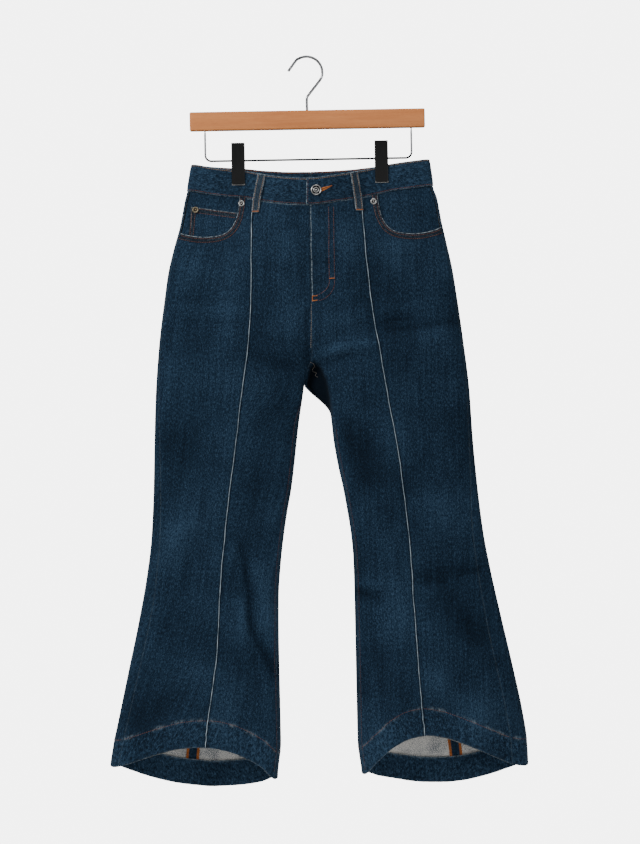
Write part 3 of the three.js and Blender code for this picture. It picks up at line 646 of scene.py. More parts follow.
    def middle(self, side: Side, turn: Array, z: Array) -> Array:
        """The middle of the cloth.

        Args:
            side: the side of the garment.
            turn: the turns.
            z: the heights.

        Returns:
            The points, in a last axis of x, y and z.
        """
        turn, z = np.broadcast_arrays(np.asarray(turn, float), np.asarray(z, float))
        front = np.cos(turn) >= 0
        level = np.abs(np.cos(turn))
        half = np.where(front, self.half_width(side, Face.FRONT, z),
                        self.half_width(side, Face.BACK, z))
        x = OUTSIDE.read(side.value, z) - half * (1 - np.sin(turn))
        edge = DEPTH.read("edge", z)
        round_edges = (quarter_round(np.abs(half) * (1 - np.sin(turn)), edge)
                       * quarter_round(np.abs(half) * (1 + np.sin(turn)), edge))
        right = OUTSIDE.read("right", z)
        across = (x - right) / (OUTSIDE.read("left", z) - right)
        bow = np.where(front, WAIST.read("front_bow", across), WAIST.read("back_bow", across))
        full = np.where(front, DEPTH.read("front", z), DEPTH.read("back", z))
        hung = (full - edge) * level**self.fullness
        opened = smooth((self.opening_z - z) / self.opening_length)
        away = edge * round_edges + mix(bow - edge, hung, opened)
        soft = clamp(self.fade_gain * level - self.fade_from)
        away = away - soft * self.relief(front, x, z)
        away = away - self.roping.read(x, z - self.hem_height(side, turn)) * clamp(4 * level)
        y = np.where(front, -away, away)
        if side is Side.LEFT:
            y = y + self.web(front, x, z)
        return np.stack([x, y, z], axis=-1)

    def normal(self, side: Side, turn: Array, z: Array) -> Array:
        """The outward normals of the cloth.

        Args:
            side: the side of the garment.
            turn: the turns.
            z: the heights.

        Returns:
            The unit vectors.
        """
        step, rise = self.turn_step, self.height_step
        round_way = self.middle(side, turn + step, z) - self.middle(side, turn - step, z)
        up_way = self.middle(side, turn, z + rise) - self.middle(side, turn, z - rise)
        return unit(np.cross(round_way, up_way)) * side.sign

    def offset(self, side: Side, turn: Array, z: Array, out: Array) -> Array:
        """Points moved out from the middle of the cloth."""
        out = np.asarray(out, float)[..., None]
        return self.middle(side, turn, z) + self.normal(side, turn, z) * out

    def on_face(self, side: Side, face: Face, x: Array, z: Array, out: Array) -> Array:
        """Points over an x and a height of one face, moved out."""
        return self.offset(side, self.turn_at(side, face, x, z), z, out)

    def shifted(self, side: Side, turn: Array, z: Array, distance: float) -> Array:
        """The turn moved along the cloth by a distance.

        Args:
            side: the side of the garment.
            turn: the turns.
            z: the heights.
            distance: how far, in millimetres.

        Returns:
            The moved turns.
        """
        step = self.turn_step
        ahead = self.middle(side, turn + step, z) - self.middle(side, turn - step, z)
        return turn + distance * 2 * step / np.linalg.norm(ahead, axis=-1)

    def band_seam(self, side: Side, turn: Array) -> Array:
        """The height of the waistband's seam at a turn.

        Args:
            side: the side of the garment.
            turn: the turns.

        Returns:
            The heights.
        """
        x = self.middle(side, turn, np.full(np.shape(turn), BAND_SEAM_Z))[..., 0]
        across = clamp((x - BAND_SEAM_X[Side.RIGHT])
                       / (BAND_SEAM_X[Side.LEFT] - BAND_SEAM_X[Side.RIGHT]))
        top = np.where(np.cos(turn) >= 0, WAIST.read("front_top", across),
                       WAIST.read("back_top", across))
        return top - BAND_HEIGHT

    def yoke_seam(self, side: Side, turn: Array) -> Array:
        """The height of the yoke's lower seam at a turn."""
        share = clamp(np.sin(turn)) ** self.yoke_curve
        return self.band_seam(side, turn) - mix(self.yoke_centre, self.yoke_side, share)


@dataclass(frozen=True)
class Lap:
    """How one front end of the waistband moves out of line to lap the other."""

    starts: float
    full: float
    end: float
    out: float


class Band:
    """The surface of the waistband. The run is negative on the front and positive on the back."""

    laps = {
        Side.RIGHT: Lap(0.8, 0.95, 1.148, -(BAND_CLOTH + SEAM_GAP) / 2),
        Side.LEFT: Lap(0.7, 0.84, 1.034, (BAND_CLOTH + SEAM_GAP) / 2),
    }
    run_step = 0.002
    share_step = 0.02
    waves = Undulation(seed=5, count=12, shortest=11, longest=46, height=0.5, upright=1.0)

    def middle(self, side: Side, run: Array, share: Array) -> Array:
        """The middle of the band's cloth; share is 0 at its seam and 1 at its top.

        Args:
            side: the side of the garment.
            run: the runs.
            share: the shares of the band's height.

        Returns:
            The points.
        """
        run, share = np.broadcast_arrays(np.asarray(run, float), np.asarray(share, float))
        across = np.abs(run) / 2 if side is Side.RIGHT else 1 - np.abs(run) / 2
        right = mix(BAND_SEAM_X[Side.RIGHT], BAND_TOP_X[Side.RIGHT], share)
        left = mix(BAND_SEAM_X[Side.LEFT], BAND_TOP_X[Side.LEFT], share)
        front = run < 0
        top = np.where(front, WAIST.read("front_top", across), WAIST.read("back_top", across))
        bow = np.where(front, WAIST.read("front_bow", across), WAIST.read("back_bow", across))
        edge = DEPTH.read("edge", BAND_SEAM_Z)
        width = BAND_SEAM_X[Side.LEFT] - BAND_SEAM_X[Side.RIGHT]
        away = bow - edge + edge * quarter_round(np.minimum(across, 1 - across) * width, edge)
        y = np.where(front, -away, away)
        return np.stack([mix(right, left, across), y, top - BAND_HEIGHT * (1 - share)], axis=-1)

    def normal(self, side: Side, run: Array, share: Array) -> Array:
        """The outward normals of the band.

        Args:
            side: the side of the garment.
            run: the runs.
            share: the shares of the band's height.

        Returns:
            The unit vectors.
        """
        ahead = (self.middle(side, run + self.run_step, share)
                 - self.middle(side, run - self.run_step, share))
        up = (self.middle(side, run, share + self.share_step)
              - self.middle(side, run, share - self.share_step))
        return unit(np.cross(ahead, up)) * side.sign

    def offset(self, side: Side, run: Array, share: Array, out: Array) -> Array:
        """Points moved out from the middle of the band's cloth, with its lap and waves.

        Args:
            side: the side of the garment.
            run: the runs.
            share: the shares of the band's height.
            out: the distances to move out.

        Returns:
            The points.
        """
        run, share, out = np.broadcast_arrays(
            np.asarray(run, float), np.asarray(share, float), np.asarray(out, float))
        lap = self.laps[side]
        moved = smooth((-run - lap.starts) / (lap.full - lap.starts))
        lapped = np.where(run < 0, lap.out * moved, 0)
        held = self.clip_free(side, run)
        rippled = self.waves.read(run * RUN_LENGTH + side.sign * 400, share * BAND_HEIGHT) * held
        total = (out + lapped + rippled)[..., None]
        return self.middle(side, run, share) + self.normal(side, run, share) * total

    @staticmethod
    def clip_free(side: Side, run: Array) -> Array:
        """1 away from the clip and the side's fold, 0 where the clip holds the band flat.

        Args:
            side: the side of the garment.
            run: the runs.

        Returns:
            The shares.
        """
        across = np.abs(run) / 2
        centre = 0.195 if side is Side.RIGHT else 0.2
        return smooth((np.abs(across - centre) - 0.04) / 0.03) * smooth(across / 0.02)

    def run_at(self, side: Side, face: Face, x: Array) -> Array:
        """The run over an x of the seam line.

        Args:
            side: the side of the garment.
            face: its front or back.
            x: the places across.

        Returns:
            The runs.
        """
        across = (x - BAND_SEAM_X[Side.RIGHT]) / (BAND_SEAM_X[Side.LEFT] - BAND_SEAM_X[Side.RIGHT])
        run = 2 * (across if side is Side.RIGHT else 1 - across)
        return -run if face is Face.FRONT else run

    def on_face(self, side: Side, face: Face, x: Array, share: Array, out: Array) -> Array:
        """Points over an x of one face, moved out."""
        return self.offset(side, self.run_at(side, face, x), share, out)


FORM = Form()
BAND = Band()
BOTH_SIDES = (Side.RIGHT, Side.LEFT)


# Meshes


@dataclass
class MeshParts:
    """Points, faces and what goes with them, gathered from several pieces."""

    points: list[Array] = field(default_factory=list)
    faces: list[tuple[int, ...]] = field(default_factory=list)
    paints: list[int] = field(default_factory=list)
    count: int = 0

    def add(self, points: Array, faces: Sequence[Sequence[int]], paint: int = 0) -> None:
        """Add a piece.

        Args:
            points: its points, in millimetres.
            faces: its faces, as indices of its own points.
            paint: the material index of its faces.
        """
        points = np.asarray(points, float).reshape(-1, 3)
        start = self.count
        self.points.append(points)
        self.faces.extend(tuple(int(i) + start for i in face) for face in faces)
        self.paints.extend([paint] * len(faces))
        self.count += len(points)

    def repaint(self, paint: int, chosen: Array) -> None:
        """Give a paint to the faces whose points are all chosen."""
        self.paints = [paint if chosen[list(face)].all() else old
                       for face, old in zip(self.faces, self.paints)]

    @classmethod
    def of(cls, points: Array, faces: Sequence[Sequence[int]]) -> "MeshParts":
        """Gather one piece.

        Args:
            points: its points, in millimetres.
            faces: its faces, as indices of its points.

        Returns:
            The parts, all of the first paint.
        """
        made = cls()
        made.add(points, faces)
        return made


def signed_volume(points: Array, faces: Sequence[Sequence[int]]) -> float:
    """The volume that faces enclose, negative where they face in.

    Args:
        points: the points.
        faces: the faces, as indices of the points.

    Returns:
        Six times the volume, in cubic millimetres.
    """
    total = 0.0
    for size in (3, 4):
        chosen = np.array([face for face in faces if len(face) == size], dtype=int)
        if len(chosen):
            corners = points[chosen]
            for k in range(1, size - 1):
                cross = np.cross(corners[:, k], corners[:, k + 1])
                total += float(np.sum(corners[:, 0] * cross))
    return total


def make_object(
    name: str,
    parts: MeshParts,
    materials: Sequence[bpy.types.Material],
    values: dict[str, Array] | None = None,
    grain: Array | None = None,
    sharp_angle: float = 60.0,
) -> bpy.types.Object:
    """Make a smooth-shaded mesh object.

    Args:
        name: the object's name.
        parts: the points and faces, in millimetres.
        materials: the materials by paint index.
        values: named numbers, one for each point.
        grain: the cloth's coordinates at each point, in millimetres.
        sharp_angle: edges sharper than this many degrees stay crisp.

    Returns:
        The new object, linked to the scene.
    """
    points = np.concatenate(parts.points)
    faces = parts.faces
    mesh = bpy.data.meshes.new(name)
    mesh.from_pydata((points * MM).tolist(), [], faces)
    mesh.polygons.foreach_set("material_index", parts.paints)
    mesh.polygons.foreach_set("use_smooth", [True] * len(faces))
    for key, numbers in (values or {}).items():
        attribute = mesh.attributes.new(key, "FLOAT", "POINT")
        attribute.data.foreach_set("value", np.asarray(numbers, np.float32).ravel())
    if grain is not None:
        corners = np.empty(len(mesh.loops), dtype=np.int64)
        mesh.loops.foreach_get("vertex_index", corners)
        layer = mesh.uv_layers.new(name="cloth")
        places = (grain.reshape(-1, 2)[corners] * MM).astype(np.float32)
        layer.data.foreach_set("uv", places.ravel())
    for material in materials:
        mesh.materials.append(material)
    mesh.update()
    mesh.set_sharp_from_angle(angle=math.radians(sharp_angle))
    made = bpy.data.objects.new(name, mesh)
    bpy.context.scene.collection.objects.link(made)
    return made


def grid_faces(
    rows: int, columns: int, start: int = 0, closed: bool = False
) -> list[tuple[int, ...]]:
    """The quads of a grid of points, rows by columns, closed across its columns or not.

    Args:
        rows: the number of rows.
        columns: the number of columns.
        start: the index of the first point.
        closed: whether the last column joins the first.

    Returns:
        The faces, as indices of the points.
    """
    last = columns if closed else columns - 1
    i, j = np.meshgrid(np.arange(rows - 1), np.arange(last), indexing="ij")
    ahead = (j + 1) % columns
    quads = np.stack([i * columns + j, i * columns + ahead,
                      (i + 1) * columns + ahead, (i + 1) * columns + j], axis=-1)
    return [tuple(q) for q in (quads.reshape(-1, 4) + start).tolist()]


@dataclass
class Shell:
    """A closed sheet of cloth between an outer and an inner grid of points."""

    outer: Array
    inner: Array

    def parts(self, outer_paint: int = 0, inner_paint: int = 1, rim_paint: int = 0) -> MeshParts:
        """The sheet's points and faces, faces pointing out.

        Args:
            outer_paint: the material index of the outer side.
            inner_paint: the material index of the inner side.
            rim_paint: the material index of the rim.

        Returns:
            The parts.
        """
        rows, columns = self.outer.shape[:2]
        count = rows * columns
        front = grid_faces(rows, columns)
        back = [tuple(reversed(q)) for q in grid_faces(rows, columns, count)]
        edge = ([(0, j) for j in range(columns)]
                + [(i, columns - 1) for i in range(1, rows)]
                + [(rows - 1, j) for j in range(columns - 2, -1, -1)]
                + [(i, 0) for i in range(rows - 2, 0, -1)])
        ring = [i * columns + j for i, j in edge]
        rim = [(b, a, a + count, b + count) for a, b in zip(ring, ring[1:] + ring[:1])]
        points = np.concatenate([self.outer.reshape(-1, 3), self.inner.reshape(-1, 3)])
        faces = front + back + rim
        paints = ([outer_paint] * len(front) + [inner_paint] * len(back) + [rim_paint] * len(rim))
        if signed_volume(points, faces) < 0:
            faces = [tuple(reversed(q)) for q in faces]
        made = MeshParts.of(points, faces)
        made.paints = paints
        return made


def tube_parts(rings: Array, closed: bool = False) -> tuple[Array, list[tuple[int, ...]]]:
    """The points and faces of a tube.

    Args:
        rings: the rings of points, one after another.
        closed: whether the last ring joins the first; else both ends are capped.

    Returns:
        The points and the faces, which point out.
    """
    count, sides = rings.shape[:2]
    points = rings.reshape(-1, 3)
    faces = grid_faces(count, sides, closed=True)
    if closed:
        last = (count - 1) * sides
        faces += [(last + j, last + (j + 1) % sides, (j + 1) % sides, j) for j in range(sides)]
    else:
        middles = rings[[0, -1]].mean(axis=1)
        points = np.concatenate([points, middles])
        first, last = count * sides, (count - 1) * sides
        faces += [(first, (j + 1) % sides, j) for j in range(sides)]
        faces += [(first + 1, last + j, last + (j + 1) % sides) for j in range(sides)]
    if signed_volume(points, faces) < 0:
        faces = [tuple(reversed(face)) for face in faces]
    return points, faces


def arc_length(points: Array) -> Array:
    """The distance along a line of points."""
    steps = np.linalg.norm(np.diff(points, axis=0), axis=-1)
    return np.concatenate([[0.0], np.cumsum(steps)])


def resampled(points: Array, spacing: float) -> Array:
    """The same line in even steps of about a spacing.

    Args:
        points: the line's points.
        spacing: the distance between points.

    Returns:
        The new points.
    """
    along = arc_length(points)
    places = np.linspace(0, along[-1], max(2, int(round(along[-1] / spacing)) + 1))
    return np.stack([np.interp(places, along, column) for column in points.T], axis=-1)


def smooth_line(corners: Sequence[Sequence[float]], spacing: float) -> Array:
    """A smooth line through points, in even steps.

    Args:
        corners: the points that it passes.
        spacing: the distance between points.

    Returns:
        The points.
    """
    p = np.asarray(corners, float)
    padded = np.concatenate([[2 * p[0] - p[1]], p, [2 * p[-1] - p[-2]]])
    t = np.linspace(0, 1, 24, endpoint=False)[:, None]
    pieces = []
    for a, b, c, d in zip(padded, padded[1:], padded[2:], padded[3:]):
        pieces.append(0.5 * (2 * b + (c - a) * t + (2 * a - 5 * b + 4 * c - d) * t**2
                             + (3 * b - a - 3 * c + d) * t**3))
    pieces.append(p[-1:])
    return resampled(np.concatenate(pieces), spacing)


def lathe_parts(profile: Array, foot: Array, axis: Array, sides: int) -> tuple[Array, list]:
    """A turned piece.

    Args:
        profile: pairs of radius and height, from the foot's middle to the top's middle.
        foot: where its axis starts.
        axis: the direction of its axis.
        sides: how many steps it has round.

    Returns:
        The points and the faces.
    """
    axis = unit(np.asarray(axis, float))
    across = unit(np.cross(axis, [0.0, 0.0, 1.0]))
    other = np.cross(axis, across)
    angle = np.arange(sides) * 2 * math.pi / sides
    ring = np.cos(angle)[:, None] * across + np.sin(angle)[:, None] * other
    rings = foot + profile[:, 1, None, None] * axis + profile[:, 0, None, None] * ring
    return tube_parts(rings)


def round_profile(corners: Sequence[Sequence[float]]) -> Array:
    """A turned piece's profile with its corners softened by a smooth line.

    Args:
        corners: the points that it follows.

    Returns:
        Pairs of radius and height.
    """
    line = smooth_line(corners, 0.22)
    line[:, 0] = np.maximum(line[:, 0], 0.02)
    return line


# Finishes


def linear(colour: Colour) -> tuple[float, float, float, float]:
    """A screen colour, 0 to 255, as linear light.

    Args:
        colour: red, green and blue, 0 to 255.

    Returns:
        Red, green, blue and alpha, 0 to 1.
    """
    def channel(value: float) -> float:
        """One channel."""
        value = value / 255
        return value / 12.92 if value <= 0.04045 else ((value + 0.055) / 1.055) ** 2.4
    return (*[channel(value) for value in colour], 1.0)


Socket = bpy.types.NodeSocket
Input = Socket | float | Sequence[float]


class Brush:
    """Short calls that build one material's nodes."""

    def __init__(self, name: str) -> None:
        """Start a material with a plain shader.

        Args:
            name: the material's name.
        """
        self.material = bpy.data.materials.new(name)
        self.material.use_nodes = True
        self.tree = self.material.node_tree
        self.shader = self.tree.nodes["Principled BSDF"]

    def feed(self, socket: Socket, value: Input) -> None:
        """Link a socket, or set it to a value.

        Args:
            socket: the input.
            value: what goes into it.
        """
        if isinstance(value, bpy.types.NodeSocket):
            self.tree.links.new(value, socket)
        else:
            socket.default_value = value

    def node(
        self, kind: str, inputs: dict[str | int, Input] | None = None, **settings: object
    ) -> bpy.types.Node:
        """Add a node with its settings and inputs.

        Args:
            kind: the type of node.
            inputs: what goes into its inputs.
            settings: its settings.

        Returns:
            The node.
        """
        made = self.tree.nodes.new(kind)
        for key, value in settings.items():
            setattr(made, key, value)
        for key, value in (inputs or {}).items():
            self.feed(made.inputs[key], value)
        return made

    def math(self, how: str, a: Input, b: Input = 0.0) -> Socket:
        """Two numbers worked together."""
        return self.node("ShaderNodeMath", {0: a, 1: b}, operation=how).outputs[0]

    def total(self, *parts: Socket | tuple[Socket, Input]) -> Socket:
        """Add numbers up.

        Args:
            parts: the numbers, each alone or with the share of it that counts.

        Returns:
            Their sum.
        """
        shares = [self.math("MULTIPLY", *part) if isinstance(part, tuple) else part
                  for part in parts]
        return functools.reduce(lambda a, b: self.math("ADD", a, b), shares)

    def most(self, *parts: Socket) -> Socket:
        """The largest of some numbers."""
        return functools.reduce(lambda a, b: self.math("MAXIMUM", a, b), parts)

    def blend(self, share: Input, a: Input, b: Input, how: str = "MIX") -> Socket:
        """A mix of two colours.

        Args:
            share: how much of the second colour shows.
            a: the first colour.
            b: the second colour.
            how: the way of blending.

        Returns:
            The mixed colour.
        """
        made = self.node("ShaderNodeMix", data_type="RGBA", blend_type=how)
        for socket, value in ((made.inputs[0], share), (made.inputs[6], a), (made.inputs[7], b)):
            self.feed(socket, value)
        return made.outputs[2]

    def span(self, value: Input, *ends: float) -> Socket:
        """A number moved from the range of two ends to that of two more, or 0 to 1."""
        ends = ends if len(ends) == 4 else (*ends, 0.0, 1.0)
        return self.node("ShaderNodeMapRange", dict(enumerate((value, *ends)))).outputs[0]

    def grain(self) -> Socket:
        """The cloth's own coordinates, in metres."""
        return self.node("ShaderNodeUVMap", uv_map="cloth").outputs[0]

    def place(self) -> Socket:
        """The object's coordinates, in metres."""
        return self.node("ShaderNodeTexCoord").outputs["Object"]

    def scaled(self, vector: Socket, scale: Sequence[float], turn: float = 0.0) -> Socket:
        """Coordinates turned in their plane and then scaled.

        Args:
            vector: the coordinates.
            scale: a scale for each axis.
            turn: the angle, in radians.

        Returns:
            The new coordinates.
        """
        turned = self.node("ShaderNodeVectorRotate", {"Vector": vector, "Angle": turn},
                           rotation_type="Z_AXIS")
        return self.node("ShaderNodeVectorMath", {0: turned.outputs[0], 1: scale},
                         operation="MULTIPLY").outputs[0]

    def noise(
        self, vector: Socket, scale: float = 1.0, detail: float = 2.0, rough: float = 0.5
    ) -> Socket:
        """Even noise from 0 to 1.

        Args:
            vector: the coordinates.
            scale: how many times finer than the coordinates.
            detail: how many finer layers it has.
            rough: the strength of the finer layers.

        Returns:
            The noise.
        """
        made = self.node("ShaderNodeTexNoise", {"Vector": vector, "Scale": scale,
                                                "Detail": detail, "Roughness": rough})
        return made.outputs[0]

    def lines(self, vector: Socket, scale: float, distortion: float = 0.0) -> Socket:
        """Even lines across the first coordinate, whose period is 0.314 over the scale.

        Args:
            vector: the coordinates.
            scale: how many times finer than the coordinates.
            distortion: how much they waver.

        Returns:
            The lines, 0 to 1.
        """
        made = self.node("ShaderNodeTexWave", {"Vector": vector, "Scale": scale,
                                               "Distortion": distortion, "Detail": 1.0})
        return made.outputs["Fac"]

    def ramp(self, value: Input, *stops: tuple[float, Colour]) -> Socket:
        """A colour that follows a number through stops.

        Args:
            value: the number.
            stops: places from 0 to 1, each with a colour.

        Returns:
            The colour.
        """
        made = self.node("ShaderNodeValToRGB", {0: value})
        elements = made.color_ramp.elements
        while len(elements) < len(stops):
            elements.new(0.5)
        for element, (place, colour) in zip(elements, stops):
            element.position = place
            element.color = linear(colour)
        return made.outputs[0]

    def number(self, name: str) -> Socket:
        """A named number of the mesh."""
        return self.node("ShaderNodeAttribute", attribute_name=name).outputs["Fac"]

    def bump(self, height: Input, distance: float, strength: float = 1.0) -> None:
        """Give the shader a bump, its distance in metres.

        Args:
            height: the height.
            distance: its full height, in metres.
            strength: how much of it shows.
        """
        made = self.node("ShaderNodeBump", {"Height": height, "Distance": distance,
                                            "Strength": strength})
        self.feed(self.shader.inputs["Normal"], made.outputs[0])

    def set(self, **inputs: Input) -> None:
        """Set the shader's inputs, their names with underscores for spaces."""
        for key, value in inputs.items():
            self.feed(self.shader.inputs[key.replace("_", " ")], value)


@dataclass(frozen=True)
class IndigoSide:
    """The outer side of dark washed denim: upright slubs, flecks, twill, worn seam edges, and
    painted shade in its folds.
    """

    name: str
    deep: Colour = (5, 13, 22)
    middle: Colour = (17, 34, 50)
    light: Colour = (47, 69, 90)
    worn: Colour = (122, 134, 140)
    wear: float = 0.6
    wear_width: float = 1.3
    edge_wear: float = 1.0
    hem_tone: float = 0.4

    def make(self) -> bpy.types.Material:
        """Build the material.

        Returns:
            The material.
        """
        b = Brush(self.name)
        cloth = b.grain()
        slub = b.noise(b.scaled(cloth, (760, 230, 1)), detail=3, rough=0.65)
        fleck = b.noise(b.scaled(cloth, (1250, 900, 1)), detail=2)
        mottle = b.noise(b.scaled(cloth, (430, 260, 1)), detail=3, rough=0.6)
        streak = b.noise(b.scaled(cloth, (270, 11, 1)), detail=3, rough=0.55)
        cloud = b.noise(b.place(), scale=11, detail=4, rough=0.6)
        twill = b.lines(b.scaled(cloth, (1, 1, 1), turn=0.45), scale=330, distortion=0.6)
        rope = b.noise(b.scaled(cloth, (250, 150, 1), turn=-0.4), detail=4, rough=0.75)
        in_hem = b.math("MULTIPLY", b.span(b.number("hem"), 46, 37), self.hem_tone)
        tone = b.total(
            (slub, 0.3), (fleck, 0.34), (mottle, 0.16), (streak, 0.1), (cloud, 0.1),
            (b.math("SUBTRACT", twill, 0.5), 0.04),
            # Painted shade: the fold depth darkens troughs and, past 6 mm, the recess between the
            # legs; crests lighten, partly as wear and partly as painted light.
            b.span(b.number("fold"), -4, 6, 0.035, -0.06),
            b.span(b.number("fold"), 6, 15, 0.0, -0.16),
            (b.math("SUBTRACT", rope, 0.48), in_hem),
        )
        colour = b.ramp(tone, (0.4, self.deep), (0.5, self.middle), (0.6, self.light))
        patchy = b.span(b.noise(b.scaled(cloth, (300, 240, 1)), detail=3, rough=0.6), 0.38, 0.6)
        edge = b.span(b.number("seam"), self.wear_width, 0.25, 0.0, self.edge_wear)
        lower = b.span(b.number("hem"), 1.8, 0.3, 0.0, 0.6)
        from_row = b.math("ABSOLUTE", b.math("SUBTRACT", b.number("hem"), HEM_DEPTH + 0.6))
        tufts = b.span(b.noise(b.scaled(cloth, (70, 40, 1)), detail=2), 0.44, 0.62)
        beside = b.math("MULTIPLY", b.span(from_row, 4.5, 0.6, 0.0, 0.7), tufts)
        upper = b.span(b.number("rise"), 1.3, 0.3, 0.0, 0.85)
        worn = b.most(edge, lower, beside, upper)
        worn = b.math("MULTIPLY", worn, b.math("MULTIPLY", patchy, self.wear))
        colour = b.blend(worn, colour, linear(self.worn))
        rough = b.span(slub, 0.3, 0.7, 0.95, 0.85)
        b.set(Base_Color=colour, Roughness=rough, Sheen_Weight=0.02, Sheen_Roughness=0.4,
              Specular_IOR_Level=0.07)
        b.bump(b.total((twill, 0.5), (slub, 0.8), (fleck, 0.6)), 0.0005, 0.5)
        return b.material


@dataclass(frozen=True)
class WornCrest:
    """The pinched seam's denim: pale where its crest has rubbed, dark down its sides."""

    name: str = "worn_crest"
    side: Colour = (12, 22, 33)
    pale: Colour = (144, 158, 168)
    grey: Colour = (72, 88, 99)
    half: float = 0.72

    def make(self) -> bpy.types.Material:
        """Build the material.

        Returns:
            The material.
        """
        b = Brush(self.name)
        cloth = b.grain()
        grain = b.noise(b.scaled(cloth, (900, 500, 1)), detail=2)
        patch = b.noise(b.scaled(cloth, (40, 62, 1)), detail=4, rough=0.65)
        crest = b.span(b.number("seam"), self.half, self.half * 0.35)
        pale = b.ramp(b.total((patch, 0.7), (grain, 0.3)), (0.38, self.grey), (0.58, self.pale))
        colour = b.blend(crest, linear(self.side), pale)
        b.set(Base_Color=colour, Roughness=0.92, Specular_IOR_Level=0.1)
        b.bump(grain, 0.0004, 0.5)
        return b.material


@dataclass(frozen=True)
class WeftSide:
    """The inner side of denim, where the undyed weft shows pale with blue flecks."""

    name: str
    pale: Colour = (200, 198, 193)
    blue: Colour = (84, 92, 99)

    def make(self) -> bpy.types.Material:
        """Build the material.

        Returns:
            The material.
        """
        b = Brush(self.name)
        cloth = b.grain()
        rib = b.lines(b.scaled(cloth, (1, 1, 1), turn=-0.45), scale=330, distortion=0.8)
        fleck = b.noise(b.scaled(cloth, (620, 900, 1)), detail=3, rough=0.7)
        cloud = b.noise(b.place(), scale=30, detail=2)
        tone = b.total((fleck, 0.7), (cloud, 0.3), (b.math("SUBTRACT", rib, 0.5), 0.08))
        colour = b.ramp(tone, (0.43, self.blue), (0.53, self.pale))
        b.set(Base_Color=colour, Roughness=0.95, Specular_IOR_Level=0.1)
        b.bump(b.total(rib, fleck), 0.0004, 0.5)
        return b.material


@dataclass(frozen=True)
class SewingThread:
    """Twisted sewing thread, a little faded in places."""

    name: str
    colour: Colour
    faded: Colour

    def make(self) -> bpy.types.Material:
        """Build the material.

        Returns:
            The material.
        """
        b = Brush(self.name)
        where = b.place()
        patch = b.noise(where, scale=240, detail=2)
        twist = b.lines(b.scaled(where, (1, 1, 1), turn=0.7), scale=700, distortion=1.0)
        colour = b.ramp(patch, (0.38, self.colour), (0.66, self.faded))
        colour = b.blend(b.math("MULTIPLY", twist, 0.25), colour, linear((52, 34, 26)))
        b.set(Base_Color=colour, Roughness=0.75, Specular_IOR_Level=0.2)
        b.bump(twist, 0.0002, 0.4)
        return b.material


@dataclass(frozen=True)
class Metal:
    """Plated or aged metal with fine scratches and duller patches."""

    name: str
    bright: Colour
    dull: Colour
    roughness: float = 0.25
    scratch: float = 0.1

    def make(self) -> bpy.types.Material:
        """Build the material.

        Returns:
            The material.
        """
        b = Brush(self.name)
        where = b.place()
        patch = b.noise(where, scale=420, detail=3)
        colour = b.ramp(patch, (0.35, self.dull), (0.62, self.bright))
        fine = b.noise(b.scaled(where, (300, 300, 2600)), detail=2)
        rough = b.span(patch, 0.3, 0.7, self.roughness + self.scratch, self.roughness)
        b.set(Base_Color=colour, Metallic=1.0, Roughness=rough)
        b.bump(fine, 0.00005, 0.25)
        return b.material


@dataclass(frozen=True)
class LacqueredBeech:
    """Satin-lacquered beech: long grain lines, short flecks and warm colour drift."""

    name: str = "lacquered_beech"
    pale: Colour = (192, 121, 67)
    warm: Colour = (174, 103, 52)
    fleck: Colour = (134, 76, 40)

    def make(self) -> bpy.types.Material:
        """Build the material.

        Returns:
            The material.
        """
        b = Brush(self.name)
        where = b.place()
        drift = b.noise(b.scaled(where, (9, 60, 60)), detail=3)
        line = b.noise(b.scaled(where, (16, 420, 420)), detail=4, rough=0.65)
        short = b.noise(b.scaled(where, (140, 900, 1500)), detail=1)
        tone = b.total((drift, 0.5), (line, 0.5))
        colour = b.ramp(tone, (0.36, self.warm), (0.62, self.pale))
        colour = b.blend(b.span(short, 0.62, 0.74, 0, 0.35), colour, linear(self.fleck))
        b.set(Base_Color=colour, Roughness=b.span(line, 0.3, 0.7, 0.55, 0.42),
              Specular_IOR_Level=0.3, Coat_Weight=0.1, Coat_Roughness=0.3)
        b.bump(line, 0.0001, 0.25)
        return b.material


@dataclass(frozen=True)
class GlossBlack:
    """Glossy black lacquer with faint rub marks."""

    name: str = "gloss_black"

    def make(self) -> bpy.types.Material:
        """Build the material.

        Returns:
            The material.
        """
        b = Brush(self.name)
        where = b.place()
        rub = b.noise(b.scaled(where, (160, 160, 40)), detail=4, rough=0.6)
        colour = b.ramp(rub, (0.4, (2, 3, 3)), (0.72, (9, 10, 10)))
        b.set(Base_Color=colour, Roughness=b.span(rub, 0.35, 0.7, 0.16, 0.34),
              Specular_IOR_Level=0.2)
        b.bump(rub, 0.00008, 0.3)
        return b.material


@dataclass(frozen=True)
class StudioPaper:
    """The pale paper of the floor."""

    name: str = "studio_paper"

    def make(self) -> bpy.types.Material:
        """Build the material.

        Returns:
            The material.
        """
        b = Brush(self.name)
        tooth = b.noise(b.place(), scale=180, detail=2)
        colour = b.ramp(tooth, (0.3, (246, 246, 246)), (0.7, (252, 252, 252)))
        b.set(Base_Color=colour, Roughness=0.95)
        return b.material


